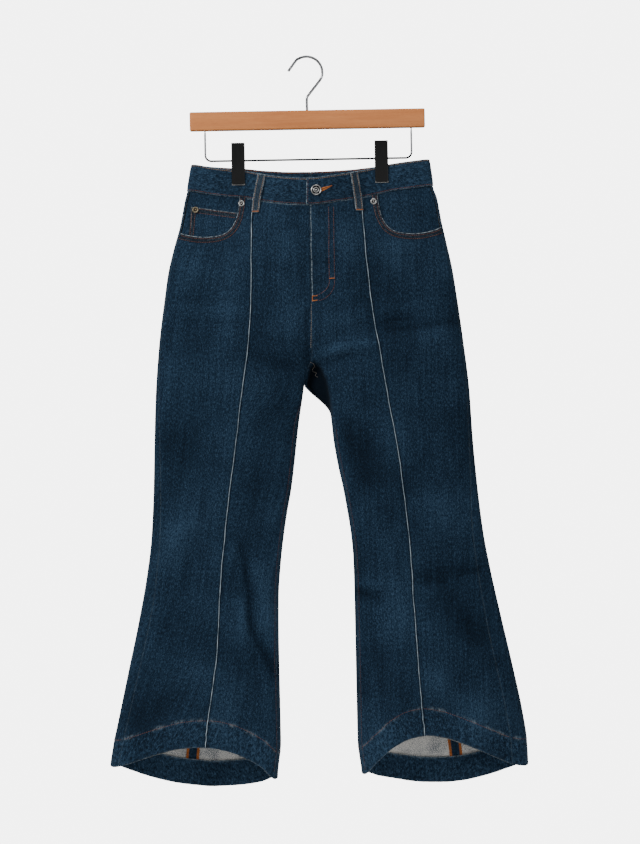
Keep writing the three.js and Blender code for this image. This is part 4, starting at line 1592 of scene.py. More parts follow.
class Finishes:
    """Every material, made once."""

    def __init__(self) -> None:
        """Make the materials."""
        self.indigo = IndigoSide("indigo", edge_wear=0.2).make()
        self.indigo_band = IndigoSide(
            "indigo_band", middle=(20, 37, 53), wear=0.95, wear_width=1.7, hem_tone=0.34).make()
        self.indigo_worn = IndigoSide(
            "indigo_worn", deep=(7, 13, 20), middle=(19, 29, 39), light=(58, 68, 77),
            worn=(138, 146, 150), wear=0.95, wear_width=1.5).make()
        self.indigo_loop = IndigoSide(
            "indigo_loop", deep=(14, 22, 31), middle=(32, 44, 56), light=(76, 88, 98),
            worn=(138, 146, 150), wear=0.9, wear_width=1.5).make()
        self.ridge = WornCrest().make()
        self.weft = WeftSide("weft").make()
        self.rust = SewingThread("rust_thread", (92, 52, 40), (118, 78, 66)).make()
        self.dim = SewingThread("dim_thread", (62, 44, 48), (82, 60, 62)).make()
        self.ash = SewingThread("ash_thread", (112, 106, 100), (134, 128, 120)).make()
        self.orange = SewingThread("orange_thread", (158, 86, 30), (172, 104, 50)).make()
        self.tan = SewingThread("tan_thread", (134, 104, 78), (150, 128, 106)).make()
        self.nickel = Metal("nickel", (176, 176, 174), (120, 120, 120), 0.28, 0.14).make()
        self.copper = Metal("copper", (150, 104, 82), (96, 66, 50), 0.35, 0.15).make()
        self.brass = Metal("aged_brass", (134, 124, 104), (84, 76, 62), 0.4, 0.16).make()
        self.chrome = Metal("chrome", (150, 152, 154), (88, 90, 92), 0.07, 0.05).make()
        self.dark_chrome = Metal("dark_chrome", (34, 36, 37), (16, 17, 18), 0.2, 0.1).make()
        self.wood = LacqueredBeech().make()
        self.black = GlossBlack().make()
        self.paper = StudioPaper().make()


# Cloth that goes round a leg or lies on a face

FAR_FROM_TOP = 50.0
FAR_FROM_HEM = 200.0
IN_HEM = 20.0


def cloth_object(
    name: str,
    parts: MeshParts,
    materials: Sequence[bpy.types.Material],
    grain: Array,
    copies: int = 1,
    **known: Array | float,
) -> bpy.types.Object:
    """Make a piece of denim from a grid of points, whose wear follows its edges.

    Args:
        name: the object's name.
        parts: its points and faces. What follows the last copy of the grid are the middles of
            end caps, which get 0 where a distance varies.
        materials: the materials by paint index.
        grain: the cloth's coordinates over the grid, in millimetres.
        copies: how many times the points hold the grid.
        known: the distance to its seam, its rise or its hem, and the depth of its folds, which
        darkens the denim as painted shade, over the grid or the same all over. Those left out are
        far from any edge.

    Returns:
        The new object.
    """
    shape = grain.shape[:-1]
    caps = parts.count - copies * math.prod(shape)
    values = {}
    plain = {"seam": 0.0, "rise": FAR_FROM_TOP, "hem": FAR_FROM_HEM, "fold": 0.0}
    for key, value in {**plain, **known}.items():
        at_caps = np.full(caps, 0.0 if isinstance(value, np.ndarray) else value)
        values[key] = np.concatenate([*[np.broadcast_to(value, shape).ravel()] * copies, at_caps])
    flat = np.concatenate([*[grain.reshape(-1, 2)] * copies, np.zeros((caps, 2))])
    return make_object(name, parts, materials, values, flat)


def cloth_roll(name: str, rings: Array, material: bpy.types.Material, grain: Array,
               **known: Array | float) -> bpy.types.Object:
    """Make a folded strip of denim from rings round it, as cloth_object does."""
    return cloth_object(name, MeshParts.of(*tube_parts(rings)), [material], grain, **known)


def pairs(a: Array, b: Array) -> Array:
    """Two arrays side by side in a last axis, each spread over the other's shape."""
    return np.stack(np.broadcast_arrays(a, b), axis=-1)


def dress(piece: bpy.types.Object, nodes: Sequence[str] = ()) -> bpy.types.Object:
    """Make a piece ride on the part, and hide the nodes that it stands for.

    Args:
        piece: the piece.
        nodes: the nodes that it stands for, or none.

    Returns:
        The same piece.
    """
    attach(piece, "root")
    if nodes:
        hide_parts(*nodes)
    LOG.info("%s: %d faces", piece.name, len(piece.data.polygons))
    return piece


RIM_STEPS = (0.0, 0.45, 1.0, 1.7, 2.6)
HEM_ROUND = 2.6
HEM_MIDDLE = -1.1
HEM_HALF = 1.9


def spread(density: Array, ends: tuple[float, float]) -> Array:
    """Places between 0 and 1 that follow a density and crowd at both ends.

    Args:
        density: how many steps are wanted over each even stretch.
        ends: the speeds at both ends, in millimetres over the whole.

    Returns:
        The places, from 0 to 1.
    """
    wanted = np.concatenate([[0.0], np.cumsum(density)])
    even = np.linspace(0, 1, len(wanted))
    count = max(4, int(math.ceil(wanted[-1])))
    places = np.interp(np.linspace(0, wanted[-1], count + 1), wanted, even)
    first = np.array(RIM_STEPS) / ends[0]
    last = 1 - np.array(RIM_STEPS) / ends[1]
    inside = places[(places > first[-1] * 1.4) & (places < 1 - (1 - last[-1]) * 1.4)]
    return np.concatenate([first, inside, last[::-1]])


@dataclass
class ClothPanel:
    """A panel of denim round part of one side of the garment, as a closed sheet."""

    side: Side
    start: Along
    end: Along
    top: Along
    bottom: Along
    first: float = -198.0
    last: float = -1068.0
    ends_at: float = HEM_Z
    out: float = 0.0
    cloth: float = DENIM
    spacing: float = 3.6
    hem_edge: bool = True
    bend_top: float = -330.0
    bend_hem: float = -900.0
    rim_drop: float = 0.62
    rim_width: float = 2.2
    closes: float = 0.03

    def columns(self) -> Array:
        """Places across the panel, closer where the cloth turns fast and at its seams.

        Returns:
            The shares across, from 0 to 1.
        """
        share = np.linspace(0, 1, 400)
        density = np.zeros(len(share) - 1)
        ends = np.zeros(2)
        heights = np.linspace(min(self.first, -230), max(self.last, -1020), 5)
        for z in heights:
            turns = mix(self.start(np.array(z)), self.end(np.array(z)), share)
            line = FORM.middle(self.side, turns, np.full(turns.shape, z))
            steps = np.linalg.norm(np.diff(line, axis=0), axis=-1)
            turned = np.abs(np.diff(turns))
            density = np.maximum(density, steps / self.spacing + turned / math.radians(6))
            ends += np.array([steps[0], steps[-1]]) * len(steps) / len(heights)
        return spread(density, (ends[0], ends[1]))

    def levels(self) -> Array:
        """Heights of the rows at the side seam.

        Returns:
            The heights, from the top down.
        """
        rim = np.array(RIM_STEPS)
        count = int((self.first - self.last) / self.spacing)
        inside = np.linspace(self.first - 5, self.last + 5, count)
        return np.concatenate([self.first - rim, inside, (self.last + rim)[::-1]])

    def places(self) -> tuple[Array, Array, Array, Array]:
        """The turn and height of every point, and the heights of each column's ends.

        Returns:
            The turns, the heights, and the upper and lower ends of the columns.
        """
        u = self.columns()
        ends_z = np.full(u.shape, BAND_SEAM_Z)
        tops = self.top(mix(self.start(ends_z), self.end(ends_z), u))
        low_z = np.full(u.shape, self.ends_at)
        lows = self.bottom(mix(self.start(low_z), self.end(low_z), u))
        level = self.levels()[:, None]
        z = (level
             + (tops - self.first) * clamp((level - self.bend_top) / (self.first - self.bend_top))
             + (lows - self.last) * clamp((self.bend_hem - level) / (self.bend_hem - self.last)))
        begin = FORM.shifted(self.side, self.start(z), z, -self.closes)
        finish = FORM.shifted(self.side, self.end(z), z, self.closes)
        return mix(begin, finish, u), z, tops, lows

    def build(self, name: str, materials: Sequence[bpy.types.Material],
              face_inside: bool = False) -> bpy.types.Object:
        """Make the panel.

        Args:
            name: the object's name.
            materials: the outer side's material and the inner side's.
            face_inside: whether the indigo side faces in, as on a turned-up hem.

        Returns:
            The panel's object.
        """
        turns, z, tops, lows = self.places()
        middle = FORM.middle(self.side, turns, z)
        steps = np.linalg.norm(np.diff(middle, axis=1), axis=-1)
        along = np.concatenate([np.zeros((len(z), 1)), np.cumsum(steps, axis=1)], axis=1)
        to_seam = np.minimum(along, along[:, -1:] - along)
        to_top, to_low = tops - z, z - lows
        edge = np.minimum(to_seam, to_top)
        dip = self.rim_drop * (1 - clamp(edge / self.rim_width)) ** 2
        outer = self.out + self.cloth / 2 - dip
        inner = np.full(z.shape, self.out - self.cloth / 2)
        if self.hem_edge:
            rounded = quarter_round(to_low, HEM_ROUND)
            if face_inside:
                low = HEM_MIDDLE - HEM_HALF * rounded
                inner = np.where(to_low < HEM_ROUND, low, inner)
                outer = np.maximum(np.where(to_low < HEM_ROUND, inner + 0.1, outer), inner + 0.1)
            else:
                high = HEM_MIDDLE + (HEM_HALF - dip) * rounded
                outer = np.where(to_low < HEM_ROUND, high, outer)
                inner = np.minimum(inner, outer - 0.1)
        base = FORM.normal(self.side, turns, z)
        shell = Shell(middle + base * outer[..., None], middle + base * inner[..., None])
        half = z.shape[1] // 2
        from_middle = along - along[:, half:half + 1]
        grain = np.stack([from_middle + middle[:, half:half + 1, 0], z], axis=-1)
        x = middle[..., 0]
        front = np.cos(turns) >= 0
        # The fold depth sets the painted shade of the indigo; on the left leg the web's drop is
        # added, which paints the recess between the legs dark.
        fold = FORM.relief(front, x, z)
        if self.side is Side.LEFT:
            fold = fold + FORM.web(front, x, z)
        hem = to_low if self.hem_edge else FAR_FROM_HEM
        return cloth_object(name, shell.parts(), materials, grain, copies=2,
                            seam=to_seam, rise=to_top, hem=hem, fold=fold)


# Seams and stitches


@dataclass(frozen=True)
class Stitch:
    """The size of one visible stitch and the space to the next."""

    length: float = 2.7
    gap: float = 0.65
    radius: float = 0.36
    lift: float = 0.16
    sink: float = 0.3


class StitchWork:
    """Gathers rows of stitches in one thread and makes them one mesh."""

    sections = ((0.0, -1.0, 0.55), (0.2, 0.8, 1.0), (0.8, 0.8, 1.0), (1.0, -1.0, 0.55))
    sides = 4

    def __init__(self, name: str, material: bpy.types.Material, seed: int) -> None:
        """Start with no stitches.

        Args:
            name: the piece's name.
            material: the thread.
            seed: the seed of its small unevenness.
        """
        self.name = name
        self.material = material
        self.draw = np.random.default_rng(seed)
        self.parts = MeshParts()

    def row(self, points: Array, normals: Array, size: Stitch = Stitch()) -> None:
        """Sew along a line.

        Args:
            points: the line on the cloth, in millimetres.
            normals: the cloth's normals there.
            size: the size of the stitches.
        """
        along = arc_length(points)
        pitch = size.length + size.gap
        count = int(along[-1] // pitch)
        if count < 1:
            return
        slack = (along[-1] - count * pitch + size.gap) / 2
        starts = slack + np.arange(count) * pitch + self.draw.normal(0, 0.08, count)
        ends = starts + size.length + self.draw.normal(0, 0.1, count)
        self.bars(self.at(points, along, starts), self.at(points, along, ends),
                  unit(self.at(normals, along, (starts + ends) / 2)), size)

    @staticmethod
    def at(values: Array, along: Array, where: Array) -> Array:
        """Values of a line at distances along it."""
        return np.stack([np.interp(where, along, values[:, k]) for k in range(3)], axis=-1)

    def bars(self, starts: Array, ends: Array, normals: Array, size: Stitch) -> None:
        """Lay stitches from starts to ends.

        Args:
            starts: where the stitches start.
            ends: where they end.
            normals: the cloth's normals there.
            size: the stitches' size.
        """
        ahead = unit(ends - starts)
        across = unit(np.cross(ahead, normals))
        across_shift = self.draw.normal(0, 0.05, len(starts))[:, None] * across
        angle = (np.arange(self.sides) + 0.5) * 2 * math.pi / self.sides
        rings = []
        for share, height, girth in self.sections:
            lift = size.lift if height > 0 else -size.sink
            middle = mix(starts, ends, share) + normals * lift + across_shift
            radius = size.radius * girth
            ring = (middle[:, None] + across[:, None] * (np.cos(angle)[:, None] * radius * 1.1)
                    + normals[:, None] * (np.sin(angle)[:, None] * radius))
            rings.append(ring)
        points = np.stack(rings, axis=1)
        block = len(self.sections) * self.sides
        one = grid_faces(len(self.sections), self.sides, closed=True)
        last = (len(self.sections) - 1) * self.sides
        one += [tuple(range(self.sides - 1, -1, -1)), tuple(last + k for k in range(self.sides))]
        if signed_volume(points[0].reshape(-1, 3), one) < 0:
            one = [tuple(reversed(face)) for face in one]
        faces = [tuple(i + block * k for i in face) for k in range(len(starts)) for face in one]
        self.parts.add(points, faces)

    def finish(self) -> bpy.types.Object:
        """Make the piece."""
        made = make_object(self.name, self.parts, [self.material])
        return dress(made)


def line_on_face(side: Side, face: Face, x: Array, z: Array, out: float) -> tuple[Array, Array]:
    """A line over places of one face, and the cloth's normals there."""
    return line_round(side, FORM.turn_at(side, face, x, z), z, out)


def line_round(side: Side, turns: Array, z: Array, out: float) -> tuple[Array, Array]:
    """A line over turns of one side, and the cloth's normals there."""
    return FORM.offset(side, turns, z, out), FORM.normal(side, turns, z)


def outseam_x(side: Side, z: Array) -> Array:
    """The x of the side seam, which lies a little inside the outer edge."""
    return OUTSIDE.read(side.value, z) - side.sign * OUTSEAM_INSET.read(side.value, z)


# Sub-assemblies


@dataclass
class PocketCurve:
    """The front pocket's opening, from the waistband to the side seam."""

    edge: tuple = ((103.4, -200), (103.4, -210), (104.4, -222), (108, -240), (116, -256),
                   (128, -265.5), (147, -269.6), (167, -269.4), (187, -265.4), (198, -260.6),
                   (212, -252))

    def line(self, side: Side, spacing: float = 1.0) -> Array:
        """The curve as pairs of x and z, up to the side seam.

        Args:
            side: the side of the garment.
            spacing: the distance between points.

        Returns:
            The pairs.
        """
        line = smooth_line(self.edge, spacing)
        line[:, 0] *= side.sign
        return line[(outseam_x(side, line[:, 1]) - line[:, 0]) * side.sign > 0.4]

    def height(self, side: Side, x: Array) -> Array:
        """The curve's height over an x, above the waistband inside its inner end.

        Args:
            side: the side of the garment.
            x: the places across.

        Returns:
            The heights.
        """
        line = smooth_line(self.edge, 0.5)
        away = x * side.sign
        height = np.interp(away, np.maximum.accumulate(line[:, 0]), line[:, 1])
        return np.where(away < self.edge[0][0] + 0.02, 0.0, height)

    def outward(self, line: Array) -> Array:
        """The direction from the opening to the panel, in x and z, along the curve.

        Args:
            line: pairs of x and z.

        Returns:
            The unit vectors.
        """
        ahead = unit(np.gradient(line, axis=0))
        away = np.stack([ahead[:, 1], -ahead[:, 0]], axis=-1)
        down = np.sum(away * np.array([0.0, -1.0]), axis=-1, keepdims=True).sum()
        return away if down > 0 else -away


@dataclass(frozen=True)
class PanelCut:
    """A panel's flat size in metres, and the folded edge that belongs to it, if any."""

    label: str
    width: float
    length: float
    area: float
    edge: str = ""


@dataclass
class LegPanels:
    """The front and back panels of both legs."""

    finishes: Finishes
    curve: PocketCurve
    front_first: float = -198.0
    back_first: float = -232.0
    cuts: tuple[PanelCut, ...] = (
        PanelCut("front_inner", 0.135, 0.87, 0.0757, "front_seam"),
        PanelCut("front_outer", 0.165, 0.87, 0.0907, "pocket_mouth"),
        PanelCut("back_outer", 0.175, 0.86, 0.1133),
        PanelCut("back_inner", 0.185, 0.86, 0.1015, "open_seam"),
    )
    made: dict[str, bpy.types.Object] = field(default_factory=dict)

    def front_top(self, side: Side) -> Along:
        """The upper edge of the outer front panel: the waistband, then the pocket's curve.

        Args:
            side: the side of the garment.

        Returns:
            A function that gives the height at a turn.
        """
        def at(turn: Array) -> Array:
            """The height at a turn.

            Args:
                turn: the turns.

            Returns:
                The heights.
            """
            seam = FORM.band_seam(side, turn) - BAND_SEAM_GAP
            x = FORM.middle(side, turn, seam)[..., 0]
            for _ in range(3):
                z = np.minimum(seam, self.curve.height(side, x))
                x = FORM.middle(side, turn, z)[..., 0]
            return np.minimum(seam, self.curve.height(side, x))
        return at

    def build(self) -> None:
        """Make the eight panels."""
        for side in BOTH_SIDES:
            front_seam, outseam, back_seam = (
                FORM.front_seam(side), FORM.outseam(side), FORM.back_seam(side))
            band, yoke = self.under_band(side), self.under_yoke(side)
            rows = (
                ("front_inner", FORM.inner_turn, front_seam, band, self.front_first, 2.9),
                ("front_outer", front_seam, outseam, self.front_top(side), self.front_first, 3.6),
                ("back_outer", outseam, back_seam, yoke, self.back_first, 4.2),
                ("back_inner", back_seam, FORM.inner_back_turn, yoke, self.back_first, 4.2),
            )
            for label, start, end, top, first, spacing in rows:
                panel = ClothPanel(side, start, end, top, self.hem(side), first, spacing=spacing)
                node = f"{label}_{side.value}"
                made = panel.build(f"denim_{node}", [self.finishes.indigo, self.finishes.weft])
                self.made[node] = dress(made, [f"{node}_{part}" for part in STRETCHES])

    @staticmethod
    def hem(side: Side) -> Along:
        """The leg opening's edge."""
        return lambda turn: FORM.hem_height(side, turn)

    @staticmethod
    def under_band(side: Side) -> Along:
        """The edge under the waistband."""
        return lambda turn: FORM.band_seam(side, turn) - 0.08

    @staticmethod
    def under_yoke(side: Side) -> Along:
        """The edge under the yoke."""
        return lambda turn: FORM.yoke_seam(side, turn) + 0.05


@dataclass
class Yokes:
    """The back yokes between the waistband and the back panels."""

    finishes: Finishes
    size: tuple[float, float] = (0.195, 0.066)
    area: float = 0.011

    def build(self) -> None:
        """Make both yokes."""
        for side in BOTH_SIDES:
            panel = ClothPanel(
                side, FORM.outseam(side), FORM.inner_back_turn, LegPanels.under_band(side),
                lambda turn, side=side: FORM.yoke_seam(side, turn), first=-198.0, last=-232.0,
                ends_at=BAND_SEAM_Z, hem_edge=False, bend_top=-232.0, bend_hem=-198.0)
            made = panel.build(f"denim_yoke_{side.value}",
                               [self.finishes.indigo, self.finishes.weft])
            dress(made, [f"yoke_{side.value}"])


@dataclass
class HemFacings:
    """The hems turned up inside the leg openings."""

    finishes: Finishes
    front_size: tuple[float, float] = (0.27, 0.04)
    front_area: float = 0.0091
    back_size: tuple[float, float] = (0.33, 0.04)
    back_area: float = 0.0124
    upper: float = -1028.0
    lower: float = -1068.0

    def build(self) -> None:
        """Make the four turned-up strips, indigo side in."""
        for side in BOTH_SIDES:
            outseam = FORM.outseam(side)
            strips = (
                (Face.FRONT, FORM.inner_turn, outseam, self.front_size, self.front_area),
                (Face.BACK, outseam, FORM.inner_back_turn, self.back_size, self.back_area),
            )
            for face, start, end, size, area in strips:
                node = f"hem_{face.value}_{side.value}"
                panel = ClothPanel(
                    side, start, end, self.top(side, start, end), LegPanels.hem(side), self.upper,
                    self.lower, out=INNER_LAYER, bend_top=self.lower, bend_hem=self.upper,
                    rim_drop=0.3)
                made = panel.build(f"denim_{node}", [self.finishes.weft, self.finishes.indigo],
                                   face_inside=True)
                dress(made, [node])

    @staticmethod
    def top(side: Side, start: Along, end: Along) -> Along:
        """The strip's upper edge, level with its lower one, both taken at the hem's turns.

        Args:
            side: the side of the garment.
            start: the strip's first edge.
            end: the strip's last edge.

        Returns:
            A function that gives the height of a column.
        """
        def at(turn_at_band: Array) -> Array:
            """The height for a column, found by its share across.

            Args:
                turn_at_band: the column's turn at the waistband.

            Returns:
                The heights.
            """
            band = np.full(np.shape(turn_at_band), BAND_SEAM_Z)
            share = (turn_at_band - start(band)) / (end(band) - start(band))
            low = np.full(np.shape(turn_at_band), HEM_Z)
            return FORM.hem_height(side, mix(start(low), end(low), share)) + HEM_DEPTH
        return at


@dataclass
class Waistband:
    """The two halves of the waistband, with rounded edges and grooves under the stitches."""

    finishes: Finishes
    radius: float = 1.45
    groove: float = 0.42
    groove_at: float = 2.3
    pad: float = 0.3
    spacing: float = 3.2
    size: tuple[float, float] = (0.405, 0.0405)
    area: float = 0.0158

    def section(self) -> tuple[Array, Array]:
        """The shares and offsets round the band's section, from the outer foot over the top.

        Returns:
            The shares and the offsets.
        """
        height, half = BAND_HEIGHT, BAND_CLOTH / 2
        up = np.concatenate([np.linspace(self.radius, 4.6, 8), np.linspace(5.6, height - 5.6, 11),
                             np.linspace(height - 4.6, height - self.radius, 8)])
        from_edge = np.minimum(up, height - up)
        out = (half + self.pad * smooth((from_edge - 3) / 6)
               - self.groove * bell((from_edge - self.groove_at) / 0.7))
        cap = np.radians(np.linspace(0, 180, 9))[1:-1]
        top_up = height - self.radius + self.radius * np.sin(cap)
        low_up = self.radius - self.radius * np.sin(cap)
        rise = np.concatenate([up, top_up, up[::-1], low_up])
        away = np.concatenate(
            [out, half * np.cos(cap), np.full(len(up), -half), -half * np.cos(cap)])
        return rise / height, away

    def build(self) -> None:
        """Make both halves."""
        share, away = self.section()
        centre_back = 1 - SEAM_GAP / (2 * BAND_TOP_X[Side.LEFT])
        for side in BOTH_SIDES:
            lap = BAND.laps[side]
            count = int((lap.end + centre_back) * RUN_LENGTH / self.spacing)
            ends = np.array([0.0, 0.3, 0.8, 1.5, 2.4]) / RUN_LENGTH
            tip = np.linspace(-0.05, 0.05, 15)
            run = np.concatenate([
                -lap.end + ends, np.linspace(-lap.end + 0.03, -0.06, count // 2), tip,
                np.linspace(0.06, centre_back - 0.03, count // 2), (centre_back - ends)[::-1]])
            from_end = np.minimum(run + lap.end, centre_back - run) * RUN_LENGTH
            thin = mix(0.45, 1.0, quarter_round(from_end, 1.6))
            rings = BAND.offset(side, run[:, None], share[None], away[None] * thin[:, None])
            rise = share * BAND_HEIGHT
            piece = cloth_roll(
                f"waistband_{side.value}", rings, self.finishes.indigo_band,
                pairs(rise[None], run[:, None] * RUN_LENGTH), seam=from_end[:, None],
                rise=np.minimum(np.abs(rise), BAND_HEIGHT - rise), hem=IN_HEM)
            dress(piece, [f"band_{side.value}"])


@dataclass
class FrontSeams:
    """The raised seams down the front of the legs, pinched and worn pale."""

    finishes: Finishes
    width: float = 2.8
    height: float = 1.8
    top: float = -209.0
    wobble: float = 0.35
    spacing: float = 2.6

    def place(self, side: Side, z: Array) -> Array:
        """The seam's x, with its small wander."""
        wander = np.sin(z / 9.1) * 0.5 + np.sin(z / 23.7 + 1.3) + np.sin(z / 4.3) * 0.25
        return FRONT_SEAM.read(side.value, z) + self.wobble * wander

    def build(self) -> None:
        """Make both seams."""
        angle = np.radians(np.linspace(-20, 200, 12))
        for side in BOTH_SIDES:
            low = float(FORM.hem_height(side, FORM.front_seam(side)(np.array(HEM_Z))))
            z = np.linspace(self.top, low + 0.6, int((self.top - low) / self.spacing))
            centre = self.place(side, z)
            puckers = 1 + 0.1 * np.sin(z / 2.1) + 0.08 * np.sin(z / 5.3 + 2)
            ends = quarter_round(np.minimum(self.top - z, z - low), 3)
            half = self.width / 2 * (0.85 + 0.15 * ends)
            x = centre[:, None] + half[:, None] * np.cos(angle)[None]
            lift = self.height * (puckers * ends)[:, None] * (0.28 + 0.72 * np.sin(angle)[None])
            rings = FORM.on_face(side, Face.FRONT, x, np.broadcast_to(z[:, None], x.shape),
                                 DENIM / 2 + lift - 0.15)
            piece = cloth_roll(f"front_seam_{side.value}", rings, self.finishes.ridge,
                               pairs(x, z[:, None]), seam=np.abs(x - centre[:, None]))
            dress(piece, [f"front_ridge_{side.value}"])


@dataclass(frozen=True)
class CoinPlace:
    """Where the coin pocket lies inside the right opening, and how wide its worn bands are."""

    left: float = -177.4
    right: float = -104.0
    top_left: float = -222.4
    top_right: float = -233.6
    lean: float = 0.1
    band_top: float = 9.2
    band_side: float = 7.2


@dataclass
class FrontPockets:
    """The pocket facings, the bands along the openings and the coin pocket."""

    finishes: Finishes
    curve: PocketCurve
    place: CoinPlace
    raised: float = 0.75
    tucked: float = 3.0
    mouth_top: float = -206.5
    facing_low: float = -292.0
    facing_size: tuple[float, float] = (0.118, 0.09)
    facing_area: float = 0.0095
    coin_size: tuple[float, float] = (0.076, 0.046)
    coin_area: float = 0.0027

    def build(self) -> None:
        """Make the pockets of both sides and the coin pocket."""
        for side in BOTH_SIDES:
            self.facing(side)
            self.mouth(side)
        self.coin()

    def facing(self, side: Side) -> None:
        """The panel that shows inside an opening.

        Args:
            side: the side of the garment.
        """
        panel = ClothPanel(
            side, FORM.front_seam(side), FORM.outseam(side),
            lambda turn: FORM.band_seam(side, turn) + self.tucked,
            lambda turn: np.full(np.shape(turn), self.facing_low), last=self.facing_low,
            out=INNER_LAYER - 0.35, hem_edge=False, bend_top=self.facing_low,
            bend_hem=self.facing_low + 1)
        piece = panel.build(f"denim_pocket_facing_{side.value}",
                            [self.finishes.indigo, self.finishes.weft])
        dress(piece, [f"pocket_facing_{side.value}"])

    def strip(
        self, side: Side, line: Array, from_edge: Sequence[float], outs: Sequence[float]
    ) -> Array:
        """Rings across the opening's edge, at distances from it and offsets from the cloth.

        Args:
            side: the side of the garment.
            line: pairs of x and z.
            from_edge: the distances from the edge.
            outs: the offset from the cloth at each distance.

        Returns:
            The rings, one for each point of the line.
        """
        away = self.curve.outward(line)
        x = line[:, 0, None] + away[:, 0, None] * np.array(from_edge)[None]
        z = line[:, 1, None] + away[:, 1, None] * np.array(from_edge)[None]
        limit = outseam_x(side, z)
        x = np.where(side.sign * x > side.sign * limit, limit, x)
        return FORM.on_face(side, Face.FRONT, x, z, np.broadcast_to(np.array(outs), x.shape))

    def mouth(self, side: Side) -> None:
        """The turned and stitched band along one opening.

        Args:
            side: the side of the garment.
        """
        line = self.curve.line(side, 2.0)
        line = line[line[:, 1] < self.mouth_top]
        top = DENIM / 2 + self.raised
        from_edge = [8.3, 7.9, 7.2, 6.6, 5.6, 4.4, 3.2, 2.4, 1.8, 1.2, 0.6, 0.0, -0.5, -0.85, -1.0,
                     -0.85, -0.4, 0.4, 3.0, 7.9]
        dips = (0.35, 0.05, 0, 0, 0.02, 0.3, 0.3, 0.02, 0.02, 0.12, 0.4, 0.8)
        face = [top - dip for dip in dips]
        outs = [0.4, 0.9, *face, 0.3, -0.35, -0.8, -1.0, -1.05, -0.9]
        rings = self.strip(side, line, from_edge, outs)
        across = np.array(from_edge)[None]
        dress(cloth_roll(f"pocket_mouth_{side.value}", rings, self.finishes.indigo_worn,
                         pairs(across, arc_length(line)[:, None]),
                         seam=np.abs(across + 0.7) * 1.3))

    def coin(self) -> None:
        """The small pocket inside the right opening."""
        side = Side.RIGHT
        across = np.concatenate([np.array(RIM_STEPS) / 72, np.linspace(0.06, 0.94, 18),
                                 1 - np.array(RIM_STEPS)[::-1] / 72])
        down = np.concatenate([[0, 0.01, 0.022, 0.04, 0.07], np.linspace(0.11, 1, 16)])
        place = self.place
        top = mix(place.top_left, place.top_right, across)[None]
        left = place.left + place.lean * (top - place.top_left)
        x = mix(left, place.right, across[None]) + 0 * down[:, None]
        low = self.curve.height(side, x[0]) - 2.0
        low = np.where(low > -100, top[0] - 2, low)[None]
        low = np.minimum(low, top - 2)
        z = mix(top, low, down[:, None])
        x = x + place.lean * (z - top)
        to_top, to_left = top - z, np.abs(x - left)
        hem_band = smooth((9.5 - to_top) / 1.2)
        edge = np.minimum(to_top, to_left)
        out = -0.05 + 0.5 * hem_band - 0.7 * (1 - quarter_round(edge, 1.3))
        out = out - 0.25 * bell((to_left - 1.9) / 0.7)
        out = out - 0.25 * bell((to_top - 1.9) / 0.7) - 0.2 * bell((to_top - 8) / 0.7)
        shell = Shell(FORM.on_face(side, Face.FRONT, x, z, out),
                      FORM.on_face(side, Face.FRONT, x, z, np.full(z.shape, -1.3)))
        made = shell.parts()
        banded = (to_top < place.band_top) | (to_left < place.band_side)
        made.repaint(2, np.concatenate([banded.ravel(), np.zeros(z.size, bool)]))
        piece = cloth_object("denim_coin_pocket", made,
                             [self.finishes.indigo, self.finishes.weft, self.finishes.indigo_worn],
                             pairs(x, z), copies=2, seam=to_left + 0.7, rise=to_top)
        dress(piece, ["coin_pocket"])


@dataclass
class Fly:
    """The stitched fly over the wearer's left front, its edge worn bright."""

    finishes: Finishes
    edge: float = 2.4
    width: float = 37.0
    curve: float = -334.0
    bottom: float = -370.0
    tip: float = 5.0
    cloth: float = 1.4
    soft_edge: float = 9.0
    seam_z: float = -209.0
    size: tuple[float, float] = (0.039, 0.15)
    area: float = 0.0051

    def reach(self, z: Array) -> Array:
        """The fly's width at a height."""
        down = clamp((self.curve - z) / (self.curve - self.bottom))
        return self.tip + (self.width - self.tip) * np.sqrt(1 - down * down)

    def lift(self, from_edge: Array, z: Array) -> Array:
        """How far the fly's face stands off the middle of the front's cloth.

        Args:
            from_edge: the distances from the edge.
            z: the heights.

        Returns:
            The distances.
        """
        from_curve = np.minimum(self.reach(z) - from_edge, z - self.bottom)
        body = quarter_round(from_edge, 1.5) * smooth(from_curve / self.soft_edge)
        puckers = 1 + 0.12 * np.sin(z / 2.3) * bell(from_edge / 3)
        return DENIM / 2 + 0.12 + (self.cloth + 0.25) * body * puckers

    def build(self) -> None:
        """Make the fly."""
        side = Side.LEFT
        turn = FORM.turn_at(side, Face.FRONT, np.array(self.edge), np.array(self.seam_z))
        top = float(FORM.band_seam(side, turn))
        z_line = np.concatenate([
            top - BAND_SEAM_GAP - np.array(RIM_STEPS), np.linspace(top - 5, self.bottom + 4, 52),
            self.bottom + np.array([2.6, 1.5, 0.7, 0.0])])
        across = np.concatenate(
            [np.array([0, 0.3, 0.7, 1.2, 1.9, 2.8]) / self.width, np.linspace(0.11, 1, 18)])
        z = np.broadcast_to(z_line[:, None], (len(z_line), len(across)))
        reach = self.reach(z)
        wander = 0.25 * np.sin(z / 7.3) + 0.2 * np.sin(z / 19.0 + 1)
        x = self.edge + wander * (1 - across[None]) + across[None] * reach
        from_edge = across[None] * reach
        shell = Shell(FORM.on_face(side, Face.FRONT, x, z, self.lift(from_edge, z)),
                      FORM.on_face(side, Face.FRONT, x, z, np.full(z.shape, DENIM / 2 - 0.2)))
        # The fold depth darkens the fly's troughs as painted shade.
        piece = cloth_object("denim_fly", shell.parts(), [self.finishes.indigo_band] * 2,
                             pairs(x, z), copies=2, seam=from_edge,
                             fold=FORM.relief(np.ones(z.shape, bool), x, z))
        dress(piece, ["fly"])


